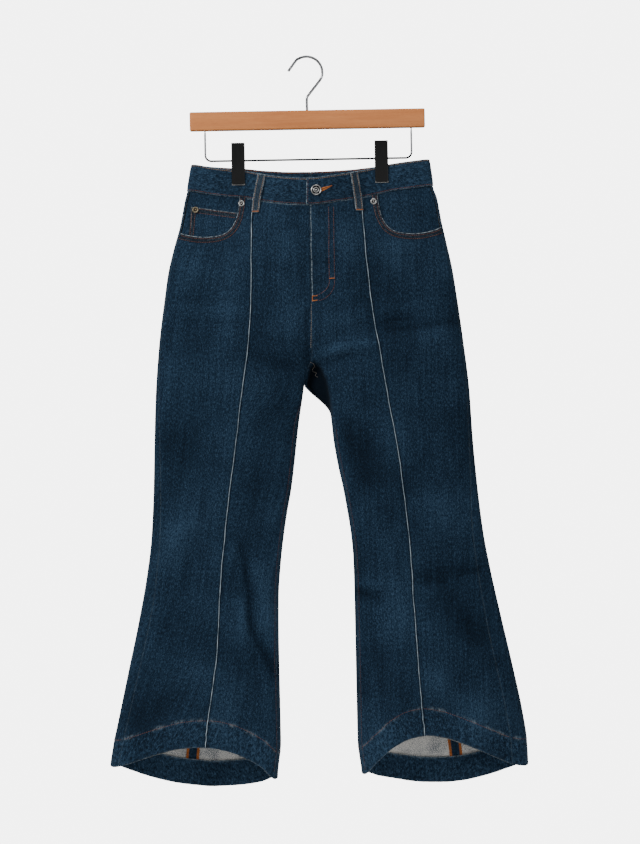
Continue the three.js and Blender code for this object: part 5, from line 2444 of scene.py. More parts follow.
@dataclass
class BackPockets:
    """Plain five-sided patch pockets on the back."""

    finishes: Finishes
    centre: dict = field(default_factory=lambda: {Side.RIGHT: -99.0, Side.LEFT: 103.0})
    top: float = -294.0
    bottom: float = -424.0
    point: float = 14.0
    top_width: float = 134.0
    bottom_width: float = 112.0
    out: float = 0.45
    size: tuple[float, float] = (0.134, 0.144)
    area: float = 0.017

    def half(self, z: Array) -> Array:
        """Half the pocket's width at a height."""
        share = (z - self.bottom) / (self.top - self.bottom)
        return mix(self.bottom_width, self.top_width, share) / 2

    def outline(self, side: Side, inset: float) -> Array:
        """The pocket's sides and lower edge as pairs of x and z, moved in by an amount.

        Args:
            side: the side of the garment.
            inset: how far in, in millimetres.

        Returns:
            The pairs.
        """
        lean = (self.top_width - self.bottom_width) / 2 / (self.top - self.bottom)
        low = self.bottom + inset * (1 - lean)
        half_low = float(self.half(np.array(low))) - inset
        half_top = float(self.half(np.array(self.top))) - inset
        c = self.centre[side]
        corners = [(c - half_top, self.top), (c - half_low, low), (c, low - self.point),
                   (c + half_low, low), (c + half_top, self.top)]
        return resampled(np.array(corners), 1.5)

    def build(self) -> None:
        """Make both pockets."""
        rim = np.array(RIM_STEPS)
        across = np.concatenate([rim / 120, np.linspace(0.04, 0.96, 30), 1 - rim[::-1] / 120])
        down = np.concatenate([rim / 130, np.linspace(0.04, 0.96, 32), 1 - rim[::-1] / 130])
        for side in BOTH_SIDES:
            low = self.bottom - self.point * (1 - np.abs(2 * across - 1))
            z = mix(self.top, low[None], down[:, None])
            half = self.half(z)
            x = self.centre[side] + (2 * across[None] - 1) * half
            to_side = (1 - np.abs(2 * across[None] - 1)) * half
            to_top, to_low = self.top - z, z - low[None]
            to_seam = np.minimum(to_side, to_low)
            edge = np.minimum(to_seam, to_top)
            out = (DENIM / 2 + self.out + 1.15 * quarter_round(edge, 1.6)
                   + 0.5 * smooth((24 - to_top) / 1.5) * smooth(edge / 2)
                   - 0.22 * bell((to_seam - 2.2) / 0.7) + 0.5 * smooth(to_seam / 40))
            shell = Shell(FORM.on_face(side, Face.BACK, x, z, out),
                          FORM.on_face(side, Face.BACK, x, z, np.full(z.shape, DENIM / 2 - 0.1)))
            piece = cloth_object(f"denim_back_pocket_{side.value}", shell.parts(),
                                 [self.finishes.indigo, self.finishes.weft], pairs(x, z),
                                 copies=2, seam=to_seam, rise=to_top)
            dress(piece, [f"back_pocket_{side.value}"])


@dataclass(frozen=True)
class LoopPlace:
    """Where one belt loop is sewn."""

    name: str
    side: Side
    face: Face
    top_x: float
    bottom_x: float
    bottom_z: float


@dataclass
class BeltLoops:
    """Belt loops with folded, worn edges."""

    finishes: Finishes
    width: float = 12.0
    cloth: float = 2.0
    over_band: float = 3.1
    over_body: float = 2.4
    bow: float = 0.9
    top_share: float = 0.985
    below_band: float = 22.0
    rows: int = 30
    size: tuple[float, float] = (0.0125, 0.062)
    area: float = 0.00075
    places: tuple[LoopPlace, ...] = (
        LoopPlace("front_right", Side.RIGHT, Face.FRONT, -72.9, -80.1, -233.8),
        LoopPlace("front_left", Side.LEFT, Face.FRONT, 69.3, 76.1, -233.8),
        LoopPlace("side_right", Side.RIGHT, Face.BACK, -139, -143, -219),
        LoopPlace("side_left", Side.LEFT, Face.BACK, 144, 148, -217),
        LoopPlace("back", Side.LEFT, Face.BACK, 1.6, 1.6, -228),
    )

    def surface(self, place: LoopPlace, t: Array, across: Array, out: Array) -> Array:
        """Points at a share down a loop and a distance across it, moved out from its middle.

        Args:
            place: the loop's place.
            t: the shares of its length.
            across: the distances across it.
            out: the distances to move out.

        Returns:
            The points.
        """
        t, across, out = np.broadcast_arrays(t, across, out)
        seam = float(FORM.band_seam(place.side, FORM.turn_at(
            place.side, place.face, np.array(place.bottom_x), np.array(BAND_SEAM_Z))))
        top = seam + BAND_HEIGHT * self.top_share
        z = mix(top, place.bottom_z, t)
        x = mix(place.top_x, place.bottom_x, t) + across
        high = z > seam
        stepped = mix(self.over_body, self.over_band, smooth(1 - (seam - z) / 9))
        over = np.where(high, self.over_band, stepped) + self.bow * np.sin(math.pi * t) ** 2
        on_band = BAND.on_face(place.side, place.face, x, (z - seam) / BAND_HEIGHT, over + out)
        on_body = FORM.on_face(place.side, place.face, x, z, over + out)
        return np.where(high[..., None], on_band, on_body)

    def build(self) -> None:
        """Make the loops."""
        half, thick = self.width / 2, self.cloth / 2
        right = [0, 2.4, 3.4, 4.2, half - 0.8, half - 0.25, half]
        across = np.array([-x for x in right[:0:-1]] + right + [half - 0.3, 0, -half + 0.3])
        to_edge = [0.62, 0.7, 1.0, 0.75, 1.0, 0.7, 0]
        out = np.array(to_edge[:0:-1] + to_edge + [-0.9, -1, -0.9]) * thick
        t = np.concatenate([[0, 0.006, 0.014, 0.025], np.linspace(0.05, 0.95, self.rows),
                            [0.975, 0.986, 0.994, 1]])
        length = BAND_HEIGHT + self.below_band
        from_end = (np.minimum(t, 1 - t) * length)[:, None]
        thin = mix(0.4, 1, quarter_round(from_end, 1.3))
        for place in self.places:
            rings = self.surface(place, t[:, None], across[None], out[None] * thin)
            piece = cloth_roll(
                f"belt_loop_{place.name}", rings, self.finishes.indigo_loop,
                pairs(across[None], t[:, None] * length),
                seam=half - np.abs(across), rise=from_end)
            dress(piece, [f"loop_{place.name}"])


@dataclass
class InsideSeams:
    """The pressed-open seams inside the back legs, their edges overlocked."""

    finishes: Finishes
    half: float = 9.5
    out: float = -DENIM / 2 - 0.75
    top: float = -330.0
    rows: int = 190

    def build(self) -> None:
        """Make one strip in each leg, and the overlock stitches along its edges."""
        for side in BOTH_SIDES:
            low = float(FORM.hem_height(side, FORM.back_seam(side)(np.array(HEM_Z))))
            z = np.linspace(self.top, low + HEM_DEPTH - 3, self.rows)[:, None]
            right = [0, 0.6, 1.6, 4, 7, 8.6, self.half]
            across = np.array([-x for x in right[:0:-1]] + right)[None]
            x = BACK_SEAM.read(side.value, z) + across
            z = np.broadcast_to(z, x.shape)
            inner = self.out - 0.35 + 0.5 * bell(across / 0.7) + 0 * z
            shell = Shell(FORM.on_face(side, Face.BACK, x, z, np.full(z.shape, self.out + 0.5)),
                          FORM.on_face(side, Face.BACK, x, z, inner))
            dress(cloth_object(f"open_seam_{side.value}", shell.parts(),
                               [self.finishes.weft, self.finishes.indigo], pairs(x, z), copies=2,
                               seam=self.half - np.abs(across)))
            self.overlock(side, low)

    def overlock(self, side: Side, low: float) -> None:
        """Orange stitches over both edges, near the opening where they show.

        Args:
            side: the side of the garment.
            low: the height of the opening at the seam.
        """
        work = StitchWork(f"overlock_{side.value}", self.finishes.orange, 40 + side.sign)
        z = np.arange(low + HEM_DEPTH - 3, low + 190, 1.05)
        for edge in (-1, 1):
            x = BACK_SEAM.read(side.value, z) + edge * self.half
            inner_x = x - edge * 3.6
            start, normal = line_on_face(side, Face.BACK, x + edge * 0.3, z, self.out - 0.45)
            end, _ = line_on_face(side, Face.BACK, inner_x, z + 0.9, self.out - 0.45)
            work.bars(start, end, -normal, Stitch(radius=0.42, lift=0.1, sink=0.1))
            rail, rail_normal = line_on_face(side, Face.BACK, x, z, self.out - 0.3)
            work.row(rail, -rail_normal, Stitch(length=2.4, gap=0.2, radius=0.45))
        work.finish()


@dataclass
class Topstitching:
    """All the rows of stitches on the outside."""

    finishes: Finishes
    curve: PocketCurve
    coin: CoinPlace
    pockets: BackPockets
    loops: BeltLoops
    fly: Fly
    surface: float = DENIM / 2
    lift: float = 0.02
    pocket_lift: float = 1.35
    pocket_hem_lift: float = 2.1
    band_row: float = 2.3
    inside_row: float = 2.0
    fly_lines: tuple = ((29.6, -361.0), (37.0, -368.0))
    fly_corner: float = 25.0
    loose_end: tuple = ((-2.5, -459), (2.5, -461), (5.5, -466), (0.5, -469), (2.5, -474),
                        (8.0, -475), (5.0, -480), (11.0, -483))
    fly_tacks: tuple = (((29.8, -335.5), (36.8, -335.0)), ((2.8, -361.5), (10.5, -361.0)),
                        ((2.8, -368.5), (10.5, -367.5)), ((3.2, -361.0), (3.6, -369.0)))

    def build(self) -> None:
        """Sew every row."""
        self.waist()
        self.pocket_mouths()
        self.fly_rows()
        self.hems()
        self.seams()
        self.back()
        self.loop_rows()

    def waist(self) -> None:
        """One row along each edge of the waistband."""
        work = StitchWork("stitches_waistband", self.finishes.rust, 1)
        pale = StitchWork("stitches_waistband_top", self.finishes.tan, 2)
        inside = StitchWork("stitches_waistband_inside", self.finishes.orange, 13)
        for side in BOTH_SIDES:
            lap = BAND.laps[side]
            start = -lap.end + 0.012 if side is Side.LEFT else -0.985
            run = np.linspace(start, 0.995, 500)
            low = self.band_row / BAND_HEIGHT
            for share, into in ((low, work), (1 - low, pale)):
                line = BAND.offset(side, run, np.full(run.shape, share), BAND_CLOTH / 2 - 0.3)
                into.row(line, BAND.normal(side, run, np.full(run.shape, share)))
        for side in BOTH_SIDES:
            run = np.linspace(0.03, 0.995, 420)
            share = np.full(run.shape, 1 - self.inside_row / BAND_HEIGHT)
            line = BAND.offset(side, run, share, -BAND_CLOTH / 2 - 0.1)
            inside.row(line, -BAND.normal(side, run, share))
        share = np.linspace(0.06, 0.94, 60)
        run = np.full(share.shape, -BAND.laps[Side.LEFT].end + 0.013)
        line = BAND.offset(Side.LEFT, run, share, BAND_CLOTH / 2 - 0.05)
        work.row(line, BAND.normal(Side.LEFT, run, share))
        for made in (work, pale, inside):
            made.finish()

    def pocket_mouths(self) -> None:
        """Two rows along each pocket opening."""
        work = StitchWork("stitches_pockets", self.finishes.rust, 3)
        for side in BOTH_SIDES:
            line = self.curve.line(side, 1.0)
            line = line[line[:, 1] < -209]
            away = self.curve.outward(line)
            for distance, lift in ((2.1, 0.45), (7.3, 0.35)):
                place = line + away * distance
                keep = side.sign * (OUTSIDE.read(side.value, place[:, 1]) - place[:, 0]) > 3.2
                work.row(*line_on_face(side, Face.FRONT, *place[keep].T, self.surface + lift))
        coin = self.coin
        z = np.linspace(-224.5, -266, 60)
        for shift in (2.0, 7.2):
            x = coin.left + shift + coin.lean * (z - coin.top_left)
            work.row(*line_on_face(Side.RIGHT, Face.FRONT, x, z, -0.25))
        x = np.linspace(-175, -110, 60)
        for down in (1.9, 8.0):
            share = (x - coin.left) / (coin.right - coin.left)
            z = mix(coin.top_left, coin.top_right, share) - down
            work.row(*line_on_face(Side.RIGHT, Face.FRONT, x, z, 0.2))
        work.finish()

    def fly_rows(self) -> None:
        """The curved double row, the bar tacks and the centre-front row below."""
        work = StitchWork("stitches_fly", self.finishes.rust, 4)
        angle = np.radians(np.linspace(0, 82, 30))
        for right, low in self.fly_lines:
            arc_x = right - self.fly_corner + self.fly_corner * np.cos(angle)
            rise = (right - 12) * 0.9
            arc_z = low + 6 + rise - rise * np.sin(angle) - 6 * (angle / angle[-1])
            x = np.concatenate([np.full(60, right), arc_x, [4.0]])
            z = np.concatenate([np.linspace(-226, arc_z[0] + 0.5, 60), arc_z, [low - 0.6]])
            line = resampled(np.stack([x, z], axis=-1), 1.0)
            work.row(*line_on_face(Side.LEFT, Face.FRONT, *line.T, self.over_fly(*line.T) + 0.05))
        work.finish()
        below = StitchWork("stitches_centre_front", self.finishes.ash, 21)
        z = np.linspace(-371, -440, 80)
        x = 1.4 - 1.6 * clamp((-400 - z) / 40)
        below.row(*line_on_face(Side.LEFT, Face.FRONT, x, z, self.surface + 0.1))
        thread = resampled(np.array(self.loose_end), 0.8)
        below.row(*line_on_face(Side.LEFT, Face.FRONT, *thread.T, self.surface + 0.2))
        below.finish()
        tacks = StitchWork("bar_tacks", self.finishes.orange, 5)
        for start, end in self.fly_tacks:
            self.tack(tacks, start, end)
        t = 0.975 + np.where(np.arange(26) % 2, 0.008, -0.008)
        across = np.linspace(-5.2, 5.2, 26)
        for place in self.loops.places:
            line = self.loops.surface(place, t, across, 1.05)
            above = self.loops.surface(place, t, across, 2.05)
            tacks.bars(line[:-1], line[1:], unit(above - line)[:-1],
                       Stitch(radius=0.42, lift=0.1, sink=0.05))
        tacks.finish()

    def tack(self, work: StitchWork, start: Sequence[float], end: Sequence[float]) -> None:
        """A bar tack on the fly: short close stitches across a line.

        Args:
            work: the thread.
            start: where it starts.
            end: where it ends.
        """
        start, end = np.array(start, float), np.array(end, float)
        ahead = unit(end - start)
        across = np.array([-ahead[1], ahead[0]])
        count = int(np.linalg.norm(end - start) / 0.42)
        places = start + (end - start) * np.linspace(0, 1, count)[:, None]
        lift = self.over_fly(*places.T) + 0.1
        low, normal = line_on_face(Side.LEFT, Face.FRONT, *(places - across * 0.7).T, lift)
        high, _ = line_on_face(Side.LEFT, Face.FRONT, *(places + across * 0.7).T, lift)
        work.bars(low, high, normal, Stitch(radius=0.3, lift=0.15, sink=0.1))

    def over_fly(self, x: Array, z: Array) -> Array:
        """How far the face of the fly, or of the cloth beside it, is from the cloth's middle."""
        return np.maximum(self.fly.lift(x - self.fly.edge, z), self.surface)

    def hems(self) -> None:
        """One row above each leg opening, all the way round."""
        for side in BOTH_SIDES:
            work = StitchWork(f"stitches_hem_{side.value}", self.finishes.rust, 6 + side.sign)
            low = np.array(HEM_Z)
            for start, end in ((FORM.inner_turn(low), FORM.outseam(side)(low)),
                               (FORM.outseam(side)(low), FORM.inner_back_turn(low))):
                share = np.linspace(0.006, 0.994, 420)
                turns = mix(start, end, share)
                z = FORM.hem_height(side, turns) + HEM_DEPTH
                work.row(*line_round(side, turns, z, self.surface + self.lift))
            work.finish()

    def seams(self) -> None:
        """A row beside each inseam on the front."""
        work = StitchWork("stitches_inseams", self.finishes.dim, 9)
        for side in BOTH_SIDES:
            top = -560.0 if side is Side.LEFT else -520.0
            z = np.linspace(top, -1074, 520)
            turns = FORM.shifted(side, FORM.inner_turn(z), z, 2.0)
            work.row(*line_round(side, turns, z, self.surface + self.lift))
        work.finish()

    def back(self) -> None:
        """Double rows of the centre back, the yoke seams and the back pockets."""
        work = StitchWork("stitches_back", self.finishes.rust, 10)
        for side in BOTH_SIDES:
            if side is Side.LEFT:
                z = np.linspace(-212, -452, 300)
                for away in (2.2, 8.0):
                    turns = FORM.shifted(side, FORM.inner_back_turn(z), z, -away)
                    work.row(*line_round(side, turns, z, self.surface + self.lift))
            seam = np.array(BAND_SEAM_Z)
            turns = np.linspace(float(FORM.outseam(side)(seam)) + 0.06, 2 * QUARTER - 0.01, 300)
            for away in (2.4, 8.2):
                z = FORM.yoke_seam(side, turns) - BAND_SEAM_GAP - away
                start = FORM.outseam(side)(z)
                end = FORM.inner_back_turn(z)
                share = (turns - turns[0]) / (turns[-1] - turns[0])
                places = mix(start + 0.05, end - 0.01, share)
                work.row(*line_round(side, places, z, self.surface + self.lift))
            for inset in (2.2, 8.4):
                line = self.pockets.outline(side, inset)
                work.row(*line_on_face(side, Face.BACK, *line.T, self.surface + self.pocket_lift))
            c, half = self.pockets.centre[side], self.pockets.top_width / 2
            for down in (12.0, 22.0):
                x = np.linspace(c - half + 9, c + half - 9, 120)
                z = np.full(x.shape, self.pockets.top - down)
                work.row(*line_on_face(side, Face.BACK, x, z, self.surface + self.pocket_hem_lift))
        work.finish()

    def loop_rows(self) -> None:
        """Two rows down each belt loop."""
        work = StitchWork("stitches_loops", self.finishes.tan, 11)
        for place in self.loops.places:
            t = np.linspace(0.03, 0.97, 60)
            for across in (-4.0, 4.0):
                line = self.loops.surface(place, t, across, 0.8)
                over = self.loops.surface(place, t, across, 1.8)
                work.row(line, unit(over - line))
        work.finish()


@dataclass
class Turned:
    """A turned metal head with rings of other metals, each by its two radii and its finish."""

    name: str
    node: str
    slot: Slot
    material: bpy.types.Material
    profile: tuple
    sides: int
    rings: tuple = ()

    def build(self, foot: Array, axis: Array) -> None:
        """Make the head, standing on its foot along its axis.

        Args:
            foot: where it stands.
            axis: the direction that it faces.
        """
        points, faces = lathe_parts(round_profile(self.profile), foot, axis, self.sides)
        parts = MeshParts.of(points, faces)
        away = np.linalg.norm(np.cross(points - foot, unit(axis)), axis=-1)
        high = (points - foot) @ unit(axis) > 0.15
        for number, (low, far, _) in enumerate(self.rings, start=1):
            parts.repaint(number, high & (away >= low - 0.05) & (away <= far + 0.05))
        finishes = [self.material] + [ring[2] for ring in self.rings]
        dress(make_object(self.name, parts, finishes, sharp_angle=50), [self.node])


@dataclass(frozen=True)
class RivetPlace:
    """Where one rivet sits on the front, and its metal."""

    name: str
    side: Side
    x: float
    z: float
    slot: Slot


@dataclass
class Fastenings:
    """The button, its buttonhole and the rivets."""

    finishes: Finishes
    button_x: float = 10.9
    button_share: float = 0.52
    button_profile: tuple = (
        (0.05, 0), (5, 0), (7.4, 0.9), (8.1, 2.2), (7.9, 3.2), (7.1, 3.9), (6.2, 3.5),
        (5.6, 2.6), (4.9, 2.3), (4.4, 2.8), (3.7, 3.3), (3.0, 3.2), (2.5, 2.4), (1.9, 2.2),
        (1.3, 2.7), (0.7, 3.1), (0.05, 3.15))
    rivet_profile: tuple = (
        (0.05, 0), (4.3, 0), (4.8, 0.4), (4.7, 1.0), (4.1, 1.45), (3.1, 1.35), (2.5, 0.8),
        (2.0, 0.3), (1.5, 0.5), (1.2, 1.2), (0.7, 1.6), (0.05, 1.65))
    rivets: tuple[RivetPlace, ...] = (
        RivetPlace("right", Side.RIGHT, -101.2, -219.2, Slot.NICKEL),
        RivetPlace("left", Side.LEFT, 97.6, -219.6, Slot.NICKEL),
        RivetPlace("coin", Side.RIGHT, -170.6, -227.6, Slot.BRASS),
    )
    hole_start: float = 17.7
    hole_end: float = 34.7

    def build(self) -> None:
        """Make the fastenings."""
        run = BAND.run_at(Side.LEFT, Face.FRONT, np.array(self.button_x))
        share = np.array(self.button_share)
        dark = self.finishes.dark_chrome
        button = Turned("button_head", "button", Slot.NICKEL, self.finishes.nickel,
                        self.button_profile, 48, ((1.5, 2.6, dark), (4.6, 6.1, dark)))
        button.build(BAND.offset(Side.LEFT, run, share, BAND_CLOTH / 2 + 0.3),
                     BAND.normal(Side.LEFT, run, share))
        metals = {Slot.NICKEL: self.finishes.nickel, Slot.BRASS: self.finishes.brass}
        rings = ((0.0, 0.6, self.finishes.copper), (1.2, 2.4, dark))
        for place in self.rivets:
            head = Turned(f"rivet_head_{place.name}", f"rivet_{place.name}", place.slot,
                          metals[place.slot], self.rivet_profile, 36, rings)
            head.build(*line_on_face(place.side, Face.FRONT, np.array(place.x),
                                     np.array(place.z), DENIM / 2 + 0.85))
        self.buttonhole()

    def buttonhole(self) -> None:
        """The keyhole buttonhole beside the button, worked in close stitches."""
        work = StitchWork("buttonhole", self.finishes.orange, 12)
        t = np.linspace(0, 1, 56)
        x, middle = mix(self.hole_start, self.hole_end, t), mix(0.5, 0.6, t)
        for edge in (-1, 1):
            share = middle + edge * mix(0.07, 0.02, smooth((t - 0.1) / 0.9))
            inner = middle + edge * 0.008
            low = BAND.on_face(Side.LEFT, Face.FRONT, x, inner, BAND_CLOTH / 2 + 0.42)
            high = BAND.on_face(Side.LEFT, Face.FRONT, x + 0.2, share, BAND_CLOTH / 2 + 0.36)
            normal = BAND.normal(Side.LEFT, BAND.run_at(Side.LEFT, Face.FRONT, x), share)
            work.bars(low, high, normal, Stitch(radius=0.34, lift=0.22, sink=0.15))
        work.finish()


@dataclass
class Hanger:
    """The wooden bar, its hook, the wire under it and the two clips."""

    finishes: Finishes
    bar_width: float = 355.0
    bar_top: float = -79.5
    bar_height: float = 28.5
    bar_thick: float = 12.0
    bar_round: float = 2.2
    hook_wire: float = 4.0
    hook_inner: float = 22.0
    wire_thick: float = 3.0
    wire_left: float = -154.7
    wire_right: float = 156.6
    wire_rod: float = -153.5
    wire_corner: float = 9.0
    hook_tip: tuple = ((-26.9, 0, -19.2), (-26.6, 0, -18.6))
    hook_neck: tuple = ((19.8, 0, -34.4), (2.4, 0, -56.4), (0, 0, -62))
    clip_width: float = 20.0
    clip_top: float = -127.0
    clip_bottom: float = -191.0
    clip_plate: float = 1.5
    clip_outer: float = 7.6
    clip_places: tuple = ((Side.RIGHT, -105.3), (Side.LEFT, 110.9))

    def build(self) -> None:
        """Make the hanger."""
        self.bar()
        self.hook()
        self.wire()
        for side, centre in self.clip_places:
            self.clip(side, centre)

    def bar(self) -> None:
        """The bar, with all its edges rounded."""
        half_y, half_z, r = self.bar_thick / 2, self.bar_height / 2, self.bar_round
        centre = self.bar_top - half_z
        corner = np.radians(np.linspace(0, 90, 7))
        inset = r * (1 - np.cos(corner))
        ahead = r * (1 - np.sin(corner))
        x_end = self.bar_width / 2
        middle = np.linspace(-x_end + 8, x_end - 8, 60)
        stations = [(-x_end + a, i) for a, i in zip(ahead[::-1], inset[::-1])]
        stations += [(x, 0.0) for x in middle] + [(x_end - a, i) for a, i in zip(ahead, inset)]
        rings = []
        for x, inward in stations:
            ring = []
            for quadrant in range(4):
                for step in np.radians(np.linspace(0, 90, 6)):
                    angle = quadrant * QUARTER + step
                    cy = (half_y - r) * (1 if quadrant in (0, 3) else -1)
                    cz = (half_z - r) * (1 if quadrant in (0, 1) else -1)
                    reach = max(r - inward, 0.05)
                    ring.append((x, cy + reach * math.cos(angle),
                                 centre + cz + reach * math.sin(angle)))
            rings.append(ring)
        parts = MeshParts.of(*tube_parts(np.array(rings)))
        dress(make_object("wooden_bar", parts, [self.finishes.wood]), ["hanger_bar"])

    @staticmethod
    def rod(path: Array, radius: float, sides: int) -> tuple[Array, list]:
        """A round rod along points in the plane of the hanger.

        Args:
            path: the points.
            radius: the rod's radius.
            sides: how many steps it has round.

        Returns:
            The points and the faces.
        """
        ahead = unit(np.gradient(path, axis=0))
        across = np.cross(ahead, [0.0, 1.0, 0.0])
        angle = np.arange(sides) * 2 * math.pi / sides
        ends = np.full(len(path), radius)
        ends[[0, -1]] = radius * 0.55
        rings = (path[:, None] + across[:, None] * (np.cos(angle)[:, None] * ends[:, None, None])
                 + np.array([0.0, 1.0, 0.0]) * (np.sin(angle)[:, None] * ends[:, None, None]))
        return tube_parts(rings)

    @staticmethod
    def arc(x: float, z: float, radius: float, start: float, end: float, steps: int) -> list:
        """Points on an arc in the plane of the hanger, angles in degrees from +X."""
        return [(x + radius * math.cos(a), 0.0, z + radius * math.sin(a))
                for a in np.radians(np.linspace(start, end, steps))]

    def hook(self) -> None:
        """The hook, from its tip over the top to the bar."""
        radius = self.hook_inner + self.hook_wire / 2
        corners = [*self.hook_tip, *self.arc(0, -self.hook_inner, radius, 130, -14, 14),
                   *self.hook_neck, (0, 0, self.bar_top + 0.3), (0, 0, self.bar_top - 1.0)]
        parts = MeshParts.of(*self.rod(smooth_line(corners, 1.2), self.hook_wire / 2, 20))
        dress(make_object("hook", parts, [self.finishes.chrome]), ["hanger_hook"])

    def wire(self) -> None:
        """The wire that carries the clips."""
        top = self.bar_top - self.bar_height + 1.0
        r = self.wire_corner
        path = [(self.wire_left, 0, z) for z in np.linspace(top, self.wire_rod + r, 8)[:-1]]
        path += self.arc(self.wire_left + r, self.wire_rod + r, r, 180, 270, 10)
        level = np.linspace(self.wire_left + r, self.wire_right - r, 60)[1:-1]
        path += [(x, 0, self.wire_rod) for x in level]
        path += self.arc(self.wire_right - r, self.wire_rod + r, r, 270, 360, 10)
        path += [(self.wire_right, 0, z) for z in np.linspace(self.wire_rod + r, top, 8)[1:]]
        points, faces = self.rod(np.array(path, float), self.wire_thick / 2, 16)
        parts = MeshParts.of(points, faces)
        lowest = self.wire_rod + r * 0.9
        parts.paints = [int(points[list(face), 2].mean() > lowest) for face in faces]
        dress(make_object("clip_wire", parts, [self.finishes.dark_chrome, self.finishes.chrome]),
              ["hanger_wire"])

    def clip(self, side: Side, centre: float) -> None:
        """One clip: two bent plates with folded sides, and a spring round the wire.

        Args:
            side: the side of the garment.
            centre: the clip's middle, in x.
        """
        half, top, bottom = self.clip_width / 2, self.clip_top, self.clip_bottom
        parts = MeshParts()
        z = np.concatenate([[top, top - 0.4, top - 1.2, top - 2.4],
                            np.linspace(top - 6, bottom + 6, 22),
                            [bottom + 2.4, bottom + 1.0, bottom + 0.3, bottom]])[:, None]
        right = [0, 5, half - 2, half - 0.8, half - 0.25, half]
        across = np.array([-x for x in right[:0:-1]] + right)[None]
        down = (top - z) / (top - bottom)
        bowed = self.clip_outer - 1.1 * (1 - np.sin(math.pi * clamp(down * 0.9 + 0.05))) * 0.9
        rounding = 1 - quarter_round(half - np.abs(across), 1.2)
        ends = 1 - quarter_round(np.minimum(top - z, z - bottom), 1.0)
        y_out = bowed - rounding - ends
        y_in = np.minimum(bowed - self.clip_plate, y_out - 0.25)
        for way in (-1, 1):
            made = Shell(*[np.stack(np.broadcast_arrays(centre + across, way * y, z), -1)
                           for y in (y_out, y_in)]).parts()
            parts.add(made.points[0], made.faces)
            self.flanges(parts, centre, way)
            self.pad(parts, centre, way)
        self.spring(parts, centre)
        piece = make_object(f"clip_{side.value}_plates", parts,
                            [self.finishes.black, self.finishes.nickel], sharp_angle=40)
        dress(piece, [f"clip_{side.value}"])

    def flanges(self, parts: MeshParts, centre: float, way: int) -> None:
        """The folded sides of one plate, which meet those of the other at the wire.

        Args:
            parts: where the mesh is gathered.
            centre: the clip's middle, in x.
            way: -1 at the front and 1 at the back.
        """
        for edge in (-1, 1):
            x_out = centre + edge * (self.clip_width / 2 - 0.1)
            x_in = x_out - edge * 1.0
            z = np.linspace(self.clip_top - 1.5, self.clip_bottom + 12, 24)
            root = self.clip_outer - 1.3
            tip = root - (1.2 + 3.6 * bell((z - self.wire_rod) / 13))
            rings = np.stack([np.stack(np.broadcast_arrays(x, way * y, z), -1) for x, y in (
                (x_out, root), (x_in, root), (x_in, tip), (x_out, tip))], axis=1)
            parts.add(*tube_parts(rings))

    def pad(self, parts: MeshParts, centre: float, way: int) -> None:
        """The gripping lip at the lower end, which bears on the waistband.

        Args:
            parts: where the mesh is gathered.
            centre: the clip's middle, in x.
            way: -1 at the front and 1 at the back.
        """
        half = self.clip_width / 2 - 0.3
        x = np.linspace(centre - half, centre + half, 18)
        angle = np.radians(np.arange(0, 360, 30))
        rings = np.stack(np.broadcast_arrays(
            x[:, None], way * (5.95 + 0.85 * np.cos(angle)),
            self.clip_bottom + 1.3 + 1.5 * np.sin(angle)), -1)
        parts.add(*tube_parts(rings), 1)

    def spring(self, parts: MeshParts, centre: float) -> None:
        """The coil round the wire between the plates.

        Args:
            parts: where the mesh is gathered.
            centre: the clip's middle, in x.
        """
        turns, radius, half, thick = 6, 2.6, 5.4, 0.55
        t = np.linspace(0, turns * 2 * math.pi, turns * 16)
        line = np.stack([centre - half + t / t[-1] * 2 * half, radius * np.cos(t),
                         self.wire_rod + radius * np.sin(t)], -1)
        ahead = unit(np.gradient(line, axis=0))
        across = unit(np.cross(ahead, [1.0, 0.0, 0.0]))
        other = np.cross(ahead, across)
        angle = np.arange(8) * math.pi / 4
        rings = (line[:, None] + across[:, None] * (np.cos(angle)[:, None] * thick)
                 + other[:, None] * (np.sin(angle)[:, None] * thick))
        parts.add(*tube_parts(rings), 1)


@dataclass(frozen=True)
class Lamp:
    """A square area light: where it stands and aims, its breadth in metres and its watts."""

    name: str
    place: tuple[float, float, float]
    target: tuple[float, float, float]
    size: float
    power: float


